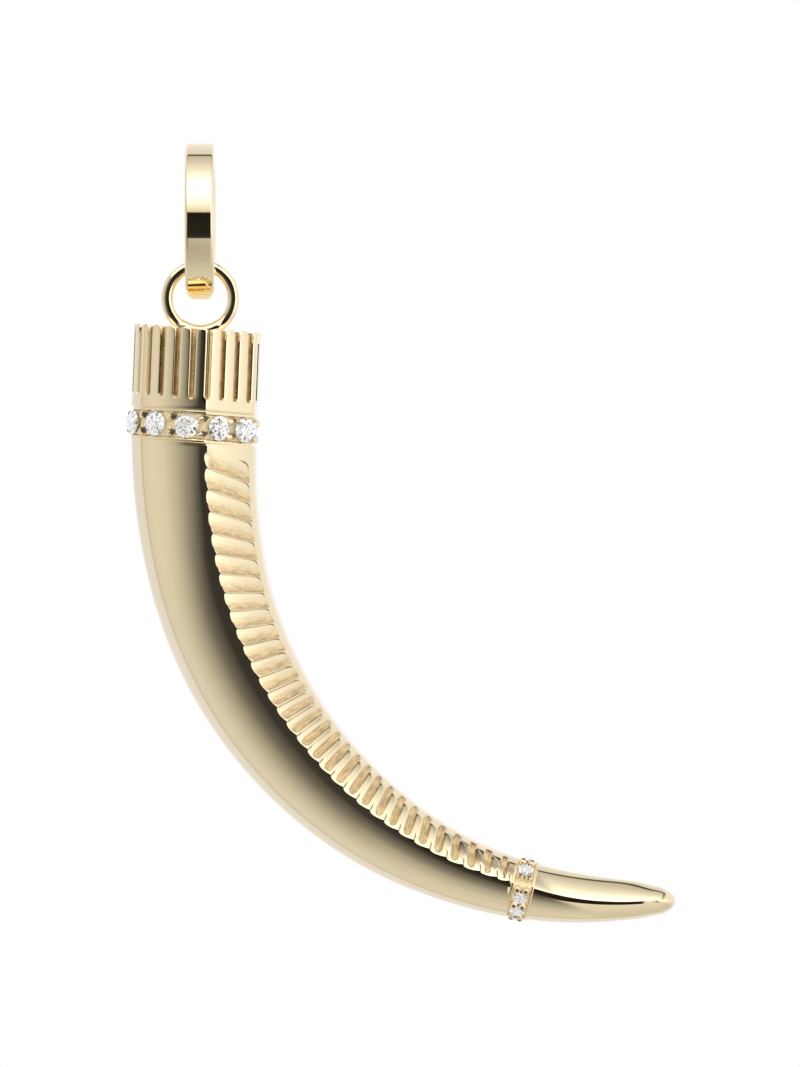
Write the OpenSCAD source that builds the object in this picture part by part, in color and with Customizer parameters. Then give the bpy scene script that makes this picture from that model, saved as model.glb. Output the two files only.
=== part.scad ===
// Claw pendant: a long curved claw with a fluted side, a fluted cap and two stone-set collars, which
// hangs by a soldered ring from an oval bail.
// The origin is the seat of the chain, on the underside of the bail's top. +Z is up, +X is the way
// that the claw curves, and -Y is the front.

/* [Bail] */
// Height of the bail over its outside
bail_h = 10.1; // [9.9:0.1:10.4]
// Depth of the bail, front to back
bail_d = 7.8; // [7.6:0.1:8.2]
// Width of the bail's band
bail_w = 1.85; // [1.7:0.05:1.95]
// Thickness of the band at its top and sides
bail_t = 1.2; // [1.1:0.05:1.25]
// Thickness of the band at its foot, where the ring hangs
bail_foot_t = 1.65; // [1.5:0.05:1.8]
// Radius on the band's four edges
bail_edge_r = 0.2; // [0.15:0.05:0.25]

/* [Hanging ring] */
// Outer diameter of the ring
ring_d = 5.03; // [4.9:0.01:5.2]
// Diameter of the ring's wire
ring_wire_d = 0.75; // [0.65:0.05:0.8]
// Height at which the curved wire rides over the edges of the bail's foot
ring_ride = 0.21; // [0.2:0.01:0.25]
// Depth to which the ring is soldered into the cap
ring_sink = 0.58; // [0.45:0.01:0.65]

/* [Cap] */
// Length of the cap along its own axis
cap_len = 5.3; // [5.1:0.1:5.6]
// Width of the cap, from the outer to the inner edge
cap_w = 8.2; // [8:0.1:8.4]
// Lean of the cap's axis from the vertical, its foot towards the outer side
cap_lean = 2.3; // [1.5:0.1:3]
// Slope of the rim and of the upper collar, down towards the inner side
rim_slope = 4.4; // [3.5:0.1:5]
// Number of flutes round the cap
cap_flutes = 23; // [21:1:24]
// Width of a flute in the cap
cap_flute_w = 0.38; // [0.3:0.01:0.42]
// Depth of a flute in the cap
cap_flute_depth = 0.3; // [0.2:0.05:0.35]
// Plain band that is left under the flutes
cap_band = 0.75; // [0.6:0.05:1]

/* [Section of the claw] */
// Depth of every section, front to back, as a share of its width
depth_share = 0.9; // [0.86:0.01:0.94]
// Turn of the fluted side away from the front, in degrees
side_turn = 34; // [31:1:36]
// Outward bow of the fluted side, as a share of the width
side_bow = 0.008; // [0.004:0.001:0.012]

/* [Claw] */
// Length along the middle line, from the upper collar to the end of the tip
claw_len = 48.75; // [48.6:0.05:48.9]
// Place of the lower collar's upper face along the middle line
tip_collar_at = 38.0; // [37.95:0.05:38.2]
// Heading of the middle line where it starts, in degrees below the horizontal
start_heading = 90.6; // [90:0.1:91.5]
// Radius of the first bend of the middle line
bend_1_r = 37.7; // [35:0.1:40]
// Length of the first bend
bend_1_len = 8.0; // [7:0.1:9]
// Radius of the second bend
bend_2_r = 26.9; // [26:0.1:28]
// Place where the second bend ends and the tip runs straight
bend_2_end = 44.3; // [43.5:0.1:45]
// Depth of the flutes in the claw's side
flute_depth = 0.3; // [0.2:0.02:0.36]
// Scallop that a flute cuts into the crease
scallop = 0.25; // [0.15:0.01:0.3]

/* [Collars] */
// Height of the upper collar
collar_h = 2.05; // [1.95:0.05:2.15]
// Width of the upper collar over its rails
collar_w = 8.06; // [7.96:0.02:8.16]
// Offset of the upper collar towards the inner side
collar_shift = 0.06; // [0:0.02:0.1]
// Height of the lower collar
tip_collar_h = 1.46; // [1.4:0.02:1.5]
// Width of the lower collar over its rails
tip_collar_w = 3.88; // [3.8:0.02:3.96]
// Heading of the lower collar's axis, in degrees below the horizontal
tip_collar_heading = 12.3; // [11:0.1:13]
// Width of a collar's rail, as a share of the collar's height
rail_share = 0.09; // [0.08:0.01:0.1]
// Depth of the channel between the rails
channel_depth = 0.12; // [0.1:0.01:0.14]
// Diameter of a bead in the upper collar
bead_d = 0.42; // [0.36:0.01:0.44]
// Distance of a bead from the upper collar's mid-height
bead_off = 0.48; // [0.46:0.01:0.52]
// Diameter of a bead in the lower collar
tip_bead_d = 0.23; // [0.18:0.01:0.24]
// Distance of a bead from the lower collar's mid-height
tip_bead_off = 0.34; // [0.32:0.01:0.38]

/* [Stones] */
// Diameter of a stone in the upper collar
stone_d = 1.65; // [1.55:0.01:1.68]
// Height of a stone's girdle above the upper collar's channel
stone_rise = 0.25; // [0.16:0.01:0.28]
// Diameter of a stone in the lower collar
tip_stone_d = 0.95; // [0.85:0.01:0.96]
// Height of a stone's girdle above the lower collar's channel
tip_stone_rise = 0.08; // [0.05:0.01:0.12]
// Clearance between a stone and its seat
stone_gap = 0.03; // [0.02:0.005:0.04]
// Clearance between neighbouring pieces of the claw
seam = 0.03; // [0.02:0.005:0.05]

/* [Hidden] */
// Where the stones and the pairs of beads sit round each collar, as shares of half its outline from the
// middle of the inner strip to the middle of the outer side. The same places are used on the front and
// on the back. The upper collar has no stone in the middle of either side, and the lower one has both.
STONE_PLACES = [0.2, 0.37, 0.54, 0.718, 0.905];
BEAD_PLACES = [0.1, 0.285, 0.455, 0.629, 0.811, 1];
TIP_STONE_PLACES = [0, 0.235, 0.6, 0.785, 1];
TIP_BEAD_PLACES = [0.118, 0.345, 0.505, 0.692, 0.892];
stones = 2 * len(STONE_PLACES);
tip_stones = 2 * (len(TIP_STONE_PLACES) - 1);

// Sections of the claw. Columns: place along the middle line, width, the crease's place across the
// width from the outer side as a share of it, and the depth of the inner strip's bulge.
AT = 0;
WIDTH = 1;
CREASE = 2;
STRIP = 3;
SECTIONS = [
    [0, 8.2, 0.6, 0.27],
    [8, 7.73, 0.605, 0.33],
    [16, 7.17, 0.61, 0.35],
    [22, 6.46, 0.615, 0.38],
    [28, 5.62, 0.615, 0.44],
    [34, 4.52, 0.615, 0.52],
    [38, 3.9, 0.61, 0.48],
    [42, 3.27, 0.52, 0.45],
    [45, 2.69, 0.48, 0.38],
    [46.5, 2.32, 0.5, 0.24],
    [47.5, 1.87, 0.54, 0.14],
    [48.75, 1.5, 0.58, 0.1]
];
TOP = SECTIONS[0];
// Place from which the tip is rounded off to its end
round_from = 47.6;

// Flutes of the claw. Columns: the flute's number, the place of its middle on the crease, and the place
// of its middle on the inner edge.
FLUTE = 0;
ON_CREASE = 1;
ON_EDGE = 2;
FLUTES = [
    [0, 1.05, 2.7],
    [4, 6.8, 7.95],
    [8, 12.0, 12.7],
    [12, 16.75, 17.1],
    [16, 21.3, 21.3],
    [20, 25.8, 25.6],
    [24, 30.35, 29.95],
    [28, 35.1, 34.7],
    [30, 37.45, 37.1]
];
last_flute = 30;
// Width of the last flute, as a share of the others'
last_flute_share = 0.6;
// Steps across one flute. Columns: distance from the flute's middle in pitches, and its depth there as
// a share of the full depth. Each flute falls gently from a ridge and rises steeply to the next.
STEPS = [
    [-0.6, 0],
    [-0.34, 0.12],
    [-0.14, 1],
    [0.28, 1]
];

// Columns of points across the fluted side, as shares from the crease to the inner edge, and the share
// of the flute's depth at each.
SIDE_COLUMNS = [0.08, 0.2, 0.55, 0.88];
SIDE_DEPTHS = [0.85, 1, 1, 0.9];
edge_depth_share = 0.35;
// Distance of the first column on the rounded side from the crease, clear of the scallops
lip = 0.42;
dorsal_steps = 6;
smooth_steps = 14;
path_steps = 24;
tip_rings = 12;
end_rings = 7;

// Cut of a stone, as shares of its diameter
table_share = 0.56;
crown = 0.15;
girdle = 0.04;
pavilion = 0.43;

// Thickness of the bail's stock before its hole is cut: more than its foot, and less than the hole's bends
bail_stock_t = 1.95;
edge_steps = 6;
bail_hole_h = bail_h - bail_t - bail_foot_t;
bail_hole_d = bail_d - 2 * bail_t;
swing_z = -bail_hole_h + ring_ride + ring_wire_d / 2;
ring_r = (ring_d - ring_wire_d) / 2;
ring_z = swing_z - ring_r;
// Middle of the cap's rim, of the upper collar's two faces and of the claw's start, as [x, z]
rim_x = -0.15;
rim_mid = [rim_x, ring_z - ring_d / 2 + ring_sink];
cap_heading = 90 + cap_lean;
collar_heading = 90 + rim_slope;
cap_foot = rim_mid + cap_len * along_way(cap_heading);
collar_top = cap_foot + seam * along_way(collar_heading);
claw_top = collar_top + (collar_h + seam) / cos(collar_heading - start_heading) * along_way(start_heading);
tip_at = tip_collar_at + tip_collar_h + 2 * seam;

// Stone bands. Columns: height, width, crease, strip, and offset towards the inner side.
BAND = [collar_h, collar_w, TOP[CREASE], TOP[STRIP], collar_shift];
tip_band_at = tip_collar_at + tip_collar_h / 2;
TIP_BAND = [
    tip_collar_h, tip_collar_w, read(SECTIONS, CREASE, tip_band_at), read(SECTIONS, STRIP, tip_band_at), 0
];

// Unit vectors as [x, z] along a heading and across it, towards the inner side
function along_way(heading) = [cos(heading), -sin(heading)];
function across_way(heading) = [sin(heading), cos(heading)];

// Heading and place of the middle line at a distance s from its start
function bend_1_turn(s) = min(s, bend_1_len) / bend_1_r;
function bend_2_turn(s) = max(0, min(s, bend_2_end) - bend_1_len) / bend_2_r;
function heading_at(s) = start_heading - (bend_1_turn(s) + bend_2_turn(s)) * 180 / PI;
function bend(from, heading_from, heading_to, r) =
    from + r * (across_way(heading_from) - across_way(heading_to));
bend_1_stop = bend(claw_top, start_heading, heading_at(bend_1_len), bend_1_r);
bend_2_stop = bend(bend_1_stop, heading_at(bend_1_len), heading_at(bend_2_end), bend_2_r);
function middle_at(s) =
    s <= bend_1_len ? bend(claw_top, start_heading, heading_at(s), bend_1_r)
    : s <= bend_2_end ? bend(bend_1_stop, heading_at(bend_1_len), heading_at(s), bend_2_r)
    : bend_2_stop + (s - bend_2_end) * along_way(heading_at(s));

// Smooth reading of a table's column at x: a cubic through the rows with their neighbours' slopes
function row_below(table, x, i = 0) =
    i >= len(table) - 2 || x < table[i + 1][0] ? i : row_below(table, x, i + 1);
function slope(table, column, i) =
    let (a = max(i - 1, 0), b = min(i + 1, len(table) - 1))
    (table[b][column] - table[a][column]) / (table[b][0] - table[a][0]);
function cubic(t, h, y0, y1, m0, m1) =
    (2 * t ^ 3 - 3 * t ^ 2 + 1) * y0 + (t ^ 3 - 2 * t ^ 2 + t) * h * m0
    + (3 * t ^ 2 - 2 * t ^ 3) * y1 + (t ^ 3 - t ^ 2) * h * m1;
function read(table, column, x) =
    let (i = row_below(table, x), h = table[i + 1][0] - table[i][0])
    cubic(
        (x - table[i][0]) / h, h, table[i][column], table[i + 1][column],
        slope(table, column, i), slope(table, column, i + 1)
    );

function round_off(s) =
    s <= round_from ? 1 : sqrt(max(0, 1 - ((s - round_from) / (claw_len - round_from)) ^ 2));
function width_at(s) = read(SECTIONS, WIDTH, s) * round_off(s);

// Half section, front side only, as [u, y, share]: u runs from the outer to the inner side with its
// zero in the middle of the width. share is 0 on the crease and the rounded side, 1 on the inner edge
// and the strip, and between them on the fluted side.
function section_depth(w) = depth_share * w / 2;
function crease_u(w, c) = (c - 0.5) * w;
function edge_y(w, c, e) = section_depth(w) - (w / 2 - e - crease_u(w, c)) * tan(side_turn);
function dorsal_point(w, c, angle) =
    [crease_u(w, c) - c * w * sin(angle), -section_depth(w) * cos(angle), 0];
function side_point(w, c, e, v, cut) =
    let (
        u0 = crease_u(w, c),
        u1 = w / 2 - e,
        y0 = -section_depth(w),
        y1 = -edge_y(w, c, e),
        out = 4 * v * (1 - v) * side_bow * w - cut
    )
    [u0 + v * (u1 - u0) + out * sin(side_turn), y0 + v * (y1 - y0) - out * cos(side_turn), v];
function strip_point(w, c, e, t) = [w / 2 - e * t * t, -t * edge_y(w, c, e), 1];

// Front half of a ring of points, from the middle of the outer side to the middle of the inner strip
function half_ring(w, c, e, cut) =
    let (lip_angle = asin(min(0.9, lip / (c * w))), slide = asin(min(0.9, scallop * cut / (c * w))))
    concat(
        [for (k = [dorsal_steps:-1:1]) dorsal_point(w, c, lip_angle + (90 - lip_angle) * k / dorsal_steps)],
        [dorsal_point(w, c, lip_angle)],
        [dorsal_point(w, c, slide)],
        [for (k = [0:len(SIDE_COLUMNS) - 1])
            side_point(w, c, e, SIDE_COLUMNS[k], flute_depth * cut * SIDE_DEPTHS[k])],
        [side_point(w, c, e, 1, flute_depth * cut * edge_depth_share)],
        [strip_point(w, c, e, 0.5)],
        [strip_point(w, c, e, 0)]
    );
// Whole ring: the front half, then the same points mirrored to the back, without the two shared ones
function whole_ring(half) =
    concat(half, [for (k = [len(half) - 2:-1:1]) [half[k][0], -half[k][1], half[k][2]]]);

// Outline of a plain section as a polygon
function outline(w, c, e, n = smooth_steps) =
    let (half = concat(
        [for (k = [n:-1:0]) dorsal_point(w, c, 90 * k / n)],
        [for (v = [0.25, 0.5, 0.75, 1]) side_point(w, c, e, v, 0)],
        [for (t = [0.67, 0.33, 0]) strip_point(w, c, e, t)]
    ))
    [for (p = whole_ring(half)) [p[0], p[1]]];

// Place in space of a ring's point: crease_s and edge_s are the ring's places along the middle line at
// the crease and at the inner edge, and slant leans the whole ring over.
function ring_point(p, crease_s, edge_s, slant) =
    let (
        s = crease_s + p[2] * (edge_s - crease_s) + p[0] * slant,
        at = middle_at(s) + p[0] * across_way(heading_at(s))
    )
    [at[0], p[1], at[1]];
function ring_at(crease_s, edge_s, cut, slant = 0) =
    let (s = (crease_s + edge_s) / 2, w = width_at(s))
    [for (p = whole_ring(half_ring(w, read(SECTIONS, CREASE, s), read(SECTIONS, STRIP, s) * round_off(s), cut)))
        ring_point(p, crease_s, edge_s, slant)];

// Closed body through rings of points, with a flat fan at both ends
module skin(rings) {
    n = len(rings[0]);
    last = len(rings) - 1;
    points = concat(
        [for (ring = rings) each ring],
        [middle_of(rings[0]), middle_of(rings[last])]
    );
    polyhedron(points, concat(
        [for (r = [0:last - 1]) for (k = [0:n - 1])
            each [
                [r * n + k, (r + 1) * n + k, (r + 1) * n + (k + 1) % n],
                [r * n + k, (r + 1) * n + (k + 1) % n, r * n + (k + 1) % n]
            ]],
        [for (k = [0:n - 1]) [len(points) - 2, k, (k + 1) % n]],
        [for (k = [0:n - 1]) [len(points) - 1, last * n + (k + 1) % n, last * n + k]]
    ));
}
function middle_of(ring) = [for (k = [0:2]) sum([for (p = ring) p[k]]) / len(ring)];
function sum(v, i = 0) = i == len(v) ? 0 : v[i] + sum(v, i + 1);

// Frame whose z runs along a heading and whose x points to the inner side, with its origin at [x, z]
module on_line(at, heading) {
    translate([at[0], 0, at[1]]) rotate([0, heading - 90, 0]) rotate([180, 0, 0]) children();
}

// Half outline of a section, from the middle of the inner strip to the middle of the outer side
function half_path(w, c, e) =
    concat(
        [for (t = [0:0.25:1]) strip_point(w, c, e, t)],
        [for (v = [0.75, 0.5, 0.25]) side_point(w, c, e, v, 0)],
        [for (k = [0:path_steps]) dorsal_point(w, c, 90 * k / path_steps)]
    );
function step_len(path, i) = norm([path[i + 1][0] - path[i][0], path[i + 1][1] - path[i][1]]);
function path_len(path, i = 0) = i >= len(path) - 1 ? 0 : step_len(path, i) + path_len(path, i + 1);

// Place on a half outline at a distance d from its start, as [u, y, the outward direction in degrees]
function walk(path, d, i = 0) =
    i >= len(path) - 2 || d <= step_len(path, i)
        ? let (t = min(1, d / step_len(path, i)), a = path[i], b = path[i + 1])
          [a[0] + t * (b[0] - a[0]), a[1] + t * (b[1] - a[1]), atan2(b[0] - a[0], a[1] - b[1])]
        : walk(path, d - step_len(path, i), i + 1);
function spot_at(w, c, e, share) =
    let (path = half_path(w, c, e), spot = walk(path, share * path_len(path)))
    share <= 0 ? [w / 2, 0, 0] : share >= 1 ? [-w / 2, 0, 180] : spot;

// Frame on a section's outline: z points outwards and x back along the piece. side is -1 for the front
// of the pendant and 1 for its back.
module on_outline(spot, side, shift = 0) {
    translate([spot[0] + shift, side * spot[1], 0]) rotate([0, 0, side * spot[2]]) rotate([0, 90, 0])
        children();
}

// Bail
// Loop of height h and depth d round the middle of the bail, with its axis along X: a half turn at either
// end and a straight length on either side
module loop(h, d, is_hole) {
    straight = h - d;
    rotate([90, 0, 90]) for (side = [-1, 1]) {
        translate([0, side * straight / 2, 0]) rotate([0, 0, 90 - 90 * side])
            rotate_extrude(angle = 180, $fn = 96) bail_profile(d / 2, is_hole);
        rotate([90, 0, 90 - 90 * side]) translate([0, 0, -straight / 2])
            linear_extrude(straight) bail_profile(d / 2, is_hole);
    }
}

// Section of the bail's stock, with rounded outer edges, or of its hole, which flares over the inner ones
module bail_profile(r, is_hole) {
    edge = bail_w / 2 - bail_edge_r;
    way = is_hole ? -1 : 1;
    arc = [for (k = [0:edge_steps]) [
        r - way * bail_edge_r * (1 - cos(90 * k / edge_steps)),
        edge + bail_edge_r * sin(90 * k / edge_steps)
    ]];
    ends = is_hole ? [[r + bail_edge_r, bail_w], [r - bail_stock_t, bail_w]] : [[r - bail_stock_t, bail_w / 2]];
    half = concat(arc, ends);
    polygon(concat(half, [for (k = [len(half) - 1:-1:0]) [half[k][0], -half[k][1]]]));
}

module bail() {
    color("khaki") difference() {
        translate([0, 0, bail_t - bail_h / 2]) loop(bail_h, bail_d, false);
        translate([0, 0, -bail_hole_h / 2]) loop(bail_hole_h, bail_hole_d, true);
    }
}

// Cap, with its soldered ring
module hanging_ring() {
    translate([0, 0, ring_z]) rotate([90, 0, 0]) rotate_extrude($fn = 96)
        translate([ring_r, 0]) circle(ring_wire_d / 2, $fn = 32);
}

// One flute, open at the rim and round at its foot. The feet lie on a line that slopes as the rim does.
module cap_flute(spot, side) {
    foot = cap_len - cap_band - cap_flute_w / 2 + spot[0] * tan(rim_slope - cap_lean);
    translate([0, 0, foot]) on_outline(spot, side) translate([0, 0, -cap_flute_depth]) {
        translate([0, -cap_flute_w / 2, 0]) cube([2 * cap_len, cap_flute_w, 1]);
        cylinder(h = 1, d = cap_flute_w, $fn = 24);
    }
}

// Everything on one side of a plane that slopes as the rim does
module beyond(at, heading, size) {
    on_line(at, heading) translate([-size, -size, 0]) cube([2 * size, 2 * size, size]);
}

module cap() {
    color("khaki") union() {
        difference() {
            on_line(rim_mid - along_way(cap_heading), cap_heading)
                linear_extrude(cap_len + 2) polygon(outline(cap_w, TOP[CREASE], TOP[STRIP]));
            beyond(rim_mid, collar_heading + 180, cap_w);
            beyond(cap_foot, collar_heading, cap_w);
            on_line(rim_mid, cap_heading) for (k = [0:cap_flutes - 1]) {
                share = 2 * min(k, cap_flutes - k) / cap_flutes;
                cap_flute(spot_at(cap_w, TOP[CREASE], TOP[STRIP], share), 2 * k < cap_flutes ? -1 : 1);
            }
        }
        hanging_ring();
    }
}

// Stone band: a plate with a rail along each edge, a channel between the rails, a tapered seat for each
// stone and small beads beside the stones
module stone_band(band, places, bead_places, d, rise, bead_d, bead_off) {
    h = band[0];
    w = band[1];
    rail = rail_share * h;
    inner = w - 2 * channel_depth;
    color("khaki") union() {
        difference() {
            translate([band[4], 0, 0]) linear_extrude(h) polygon(outline(inner, band[2], band[3]));
            translate([0, 0, h / 2]) for (spot = spots_round(band, places))
                on_outline(spot, spot[3], band[4]) stone_seat(d, rise);
        }
        for (z = [0, h - rail])
            translate([band[4], 0, z]) linear_extrude(rail) polygon(outline(w, band[2], band[3]));
        translate([0, 0, h / 2]) for (spot = spots_round(band, bead_places)) for (side = [-1, 1])
            translate([0, 0, side * bead_off]) on_outline(spot, spot[3], band[4])
                sphere(d = bead_d, $fn = 24);
    }
}

// Places round a band's channel as [u, y, outward direction, side], the first one on the inner strip
// and then the front and the back in turn
function spots_round(band, places) =
    [for (k = [0:len(places) - 1]) for (side = places[k] <= 0 || places[k] >= 1 ? [-1] : [-1, 1])
        concat(spot_at(band[1] - 2 * channel_depth, band[2], band[3], places[k]), [side])];

// Seat of a stone: a cone below the girdle, and open outwards above it
module stone_seat(d, rise) {
    r = d / 2 + stone_gap;
    foot = rise - stone_gap;
    translate([0, 0, foot]) cylinder(h = d, r = r, $fn = 32);
    translate([0, 0, foot - 2 * pavilion * r]) cylinder(h = 2 * pavilion * r, r1 = 0.02, r2 = r, $fn = 32);
}

// Round cut stone: an eight-sided table, a ring of 24 crown facets, a girdle of 16 sides and a pointed
// pavilion. It stands a little out of its seat, as a bead-set stone does.
module cut_stone(d, rise) {
    r = d / 2;
    top = concat(
        [for (k = [0:7]) [table_share * r * cos(45 * k), table_share * r * sin(45 * k), (girdle + crown) * d]],
        [for (k = [0:15]) [r * cos(22.5 * k), r * sin(22.5 * k), girdle * d]]
    );
    low = concat([for (k = [0:15]) [r * cos(22.5 * k), r * sin(22.5 * k), 0]], [[0, 0, -pavilion * d]]);
    color("white") translate([0, 0, rise]) polyhedron(concat(top, low), concat(
        [[7, 6, 5, 4, 3, 2, 1, 0]],
        [for (k = [0:7]) each [
            [k, 8 + 2 * k + 1, 8 + 2 * k],
            [k, 8 + 2 * k, 8 + (2 * k + 15) % 16],
            [k, (k + 1) % 8, 8 + 2 * k + 1]
        ]],
        [for (k = [0:15]) each [
            [8 + k, 8 + (k + 1) % 16, 24 + (k + 1) % 16],
            [8 + k, 24 + (k + 1) % 16, 24 + k],
            [24 + k, 24 + (k + 1) % 16, 40]
        ]]
    ));
}

module in_collar() {
    on_line(collar_top, collar_heading) children();
}
module in_tip_collar() {
    on_line(middle_at(tip_collar_at) + seam * along_way(tip_collar_heading), tip_collar_heading) children();
}

module collar() {
    in_collar() stone_band(BAND, STONE_PLACES, BEAD_PLACES, stone_d, stone_rise, bead_d, bead_off);
}
module collar_stone(k) {
    spot = spots_round(BAND, STONE_PLACES)[k - 1];
    in_collar() translate([0, 0, collar_h / 2]) on_outline(spot, spot[3], BAND[4])
        cut_stone(stone_d, stone_rise);
}

module tip_collar() {
    in_tip_collar() stone_band(
        TIP_BAND, TIP_STONE_PLACES, TIP_BEAD_PLACES, tip_stone_d, tip_stone_rise, tip_bead_d, tip_bead_off
    );
}
module tip_stone(k) {
    spot = spots_round(TIP_BAND, TIP_STONE_PLACES)[k - 1];
    in_tip_collar() translate([0, 0, tip_collar_h / 2]) on_outline(spot, spot[3], TIP_BAND[4])
        cut_stone(tip_stone_d, tip_stone_rise);
}

// Claw: plain rings in the planes of its two ends, and the steps of every flute between them
module claw() {
    flutes = concat(
        [for (n = [0:last_flute - 1]) for (step = STEPS) [n + step[0], step[1]]],
        [for (step = STEPS) [last_flute + last_flute_share * step[0], step[1]]],
        [[last_flute + last_flute_share / 2, 0]]
    );
    color("khaki") skin(concat(
        [ring_at(0, 0, 0, tan(collar_heading - start_heading))],
        [for (f = flutes) ring_at(read(FLUTES, ON_CREASE, f[0]), read(FLUTES, ON_EDGE, f[0]), f[1])],
        [ring_at(tip_collar_at, tip_collar_at, 0, tan(tip_collar_heading - heading_at(tip_collar_at)))]
    ));
}

// Tip: plain rings that close in on its round end
module tip() {
    first_slant = tan(tip_collar_heading - heading_at(tip_at));
    plain = [for (k = [1:tip_rings]) tip_at + (round_from - tip_at) * k / tip_rings];
    round = [for (k = [1:end_rings]) round_from + (claw_len - round_from) * sin(88 * k / end_rings)];
    color("khaki") skin(concat(
        [ring_at(tip_at, tip_at, 0, first_slant)],
        [for (s = concat(plain, round)) ring_at(s, s, 0)]
    ));
}

bail();
cap();
collar();
claw();
tip_collar();
tip();
for (k = [1:stones])
    collar_stone(k);
for (k = [1:tip_stones])
    tip_stone(k);
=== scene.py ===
# %% [markdown]
# # A claw pendant, made over its construction model
#
# The pendant is a curved claw of pale polished gold that hangs from an oval bail. The construction model is
# loaded first and stays where it is. Every piece here is made in the same place and the same metres, so
# nothing has to be fitted. Sizes are written in millimetres, as a goldsmith writes them.

# %% Load the construction model
import math

import bpy
import numpy as np
from mathutils import Matrix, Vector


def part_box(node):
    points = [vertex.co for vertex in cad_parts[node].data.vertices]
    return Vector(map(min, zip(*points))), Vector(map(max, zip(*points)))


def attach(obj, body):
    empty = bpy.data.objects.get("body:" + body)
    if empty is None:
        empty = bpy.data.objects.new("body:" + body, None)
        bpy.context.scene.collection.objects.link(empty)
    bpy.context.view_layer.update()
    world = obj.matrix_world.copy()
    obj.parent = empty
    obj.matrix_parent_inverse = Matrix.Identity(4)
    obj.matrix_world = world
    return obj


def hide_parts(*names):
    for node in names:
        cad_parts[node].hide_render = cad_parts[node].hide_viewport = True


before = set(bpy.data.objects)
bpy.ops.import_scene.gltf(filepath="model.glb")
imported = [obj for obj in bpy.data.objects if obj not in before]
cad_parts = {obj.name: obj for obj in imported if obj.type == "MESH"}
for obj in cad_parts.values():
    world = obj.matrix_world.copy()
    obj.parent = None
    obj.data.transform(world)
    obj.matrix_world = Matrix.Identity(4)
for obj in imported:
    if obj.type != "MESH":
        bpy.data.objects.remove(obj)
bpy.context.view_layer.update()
MM = 0.001

# %% [markdown]
# ## Working by hand, in code
#
# Blender's operators act on whatever is selected, so each helper below first clears the selection. A piece
# starts as a primitive, is shaped in edit mode, and ends at the origin with its place in its mesh. Where
# many points move at once, they are read into an array, moved there, and written back.

# %% Helpers for starting, selecting and finishing a piece
def clear_selection():
    if bpy.context.object and bpy.context.object.mode != "OBJECT":
        bpy.ops.object.mode_set(mode="OBJECT")
    bpy.ops.object.select_all(action="DESELECT")


def take_up(piece):
    clear_selection()
    piece.select_set(True)
    bpy.context.view_layer.objects.active = piece


def start_from(add, name, **sizes):
    clear_selection()
    add(**sizes)
    piece = bpy.context.object
    piece.name = name
    piece.data.name = name
    bpy.ops.object.transform_apply(location=True, rotation=True, scale=True)
    return piece


def edit_all(piece):
    """Goes into edit mode with everything selected."""
    take_up(piece)
    bpy.ops.object.mode_set(mode="EDIT")
    bpy.ops.mesh.select_all(action="SELECT")


def done():
    bpy.ops.object.mode_set(mode="OBJECT")


def close_up(piece, distance=0.0005, fill_ends=False):
    """Merges doubled points, fills open ends where asked, and turns every face outwards."""
    edit_all(piece)
    bpy.ops.mesh.remove_doubles(threshold=distance * MM)
    if fill_ends:
        bpy.ops.mesh.fill_holes(sides=0)
        bpy.ops.mesh.select_all(action="SELECT")
    bpy.ops.mesh.normals_make_consistent(inside=False)
    done()


def smooth(piece, degrees):
    take_up(piece)
    bpy.ops.object.shade_smooth_by_angle(angle=math.radians(degrees))


print("helpers for pieces: ready")

# %% Helpers for points
def points_of(piece):
    """Places of a piece's points in millimetres, a row for each."""
    places = np.zeros(len(piece.data.vertices) * 3)
    piece.data.vertices.foreach_get("co", places)
    return places.reshape(-1, 3) / MM


def place_points(piece, places):
    piece.data.vertices.foreach_set("co", np.ascontiguousarray(places * MM, dtype=np.float32).ravel())
    piece.data.update()


def note(piece, name, values):
    """Writes an attribute of the points: a number for each, or a row of three."""
    values = np.ascontiguousarray(values, dtype=np.float32)
    kind, part = ("FLOAT", "value") if values.ndim == 1 else ("FLOAT_VECTOR", "vector")
    piece.data.attributes.new(name, kind, "POINT").data.foreach_set(part, values.ravel())


print("helpers for points: ready")

# %% [markdown]
# ## The camera
#
# The pendant is seen square on from the front. A long lens keeps the perspective small, as in a jeweller's
# catalogue. The picture is 68.84 mm high at the pendant, and its middle lies right of and below the bail.

# %% Camera
VIEW_CENTRE = (12.884, -23.97)
VIEW_HEIGHT = 68.84
VIEW_DISTANCE = 600.0
SENSOR = 36.0
NEAREST, FARTHEST = 0.01, 10.0
bpy.ops.object.camera_add(
    location=(VIEW_CENTRE[0] * MM, -VIEW_DISTANCE * MM, VIEW_CENTRE[1] * MM), rotation=(math.pi / 2, 0, 0)
)
camera = bpy.context.object
camera.name = "catalogue_camera"
camera.data.sensor_fit = "VERTICAL"
camera.data.sensor_height = SENSOR
camera.data.lens = SENSOR * VIEW_DISTANCE / VIEW_HEIGHT
camera.data.clip_start = NEAREST
camera.data.clip_end = FARTHEST
bpy.context.scene.camera = camera
print("lens:", round(camera.data.lens, 1), "mm")

# %% [markdown]
# ## The light
#
# Polished gold has hardly any colour of its own: it shows the studio round it. The studio is therefore the
# most important part of the finish. Lamps and cards could be set up one by one, but each would have to sit
# exactly where a reflection wants it. Here the studio is a world of light that depends only on the
# direction, and each region of it has a ramp: how bright the room is at so many degrees from the front.
# A surface that leans back by half of that angle shows it. The front is dim, because the photographer
# stands there, and everything behind the pendant is pale. Near 94 degrees, between a soft box and the
# backdrop, a thin dark gap draws the fine dark lines.

# %% How bright the studio is
NEUTRAL, WARM, COOL, ROSE = (1, 1, 1), (1, 0.98, 0.93), (0.97, 0.98, 1.1), (1, 0.95, 1.0)
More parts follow.
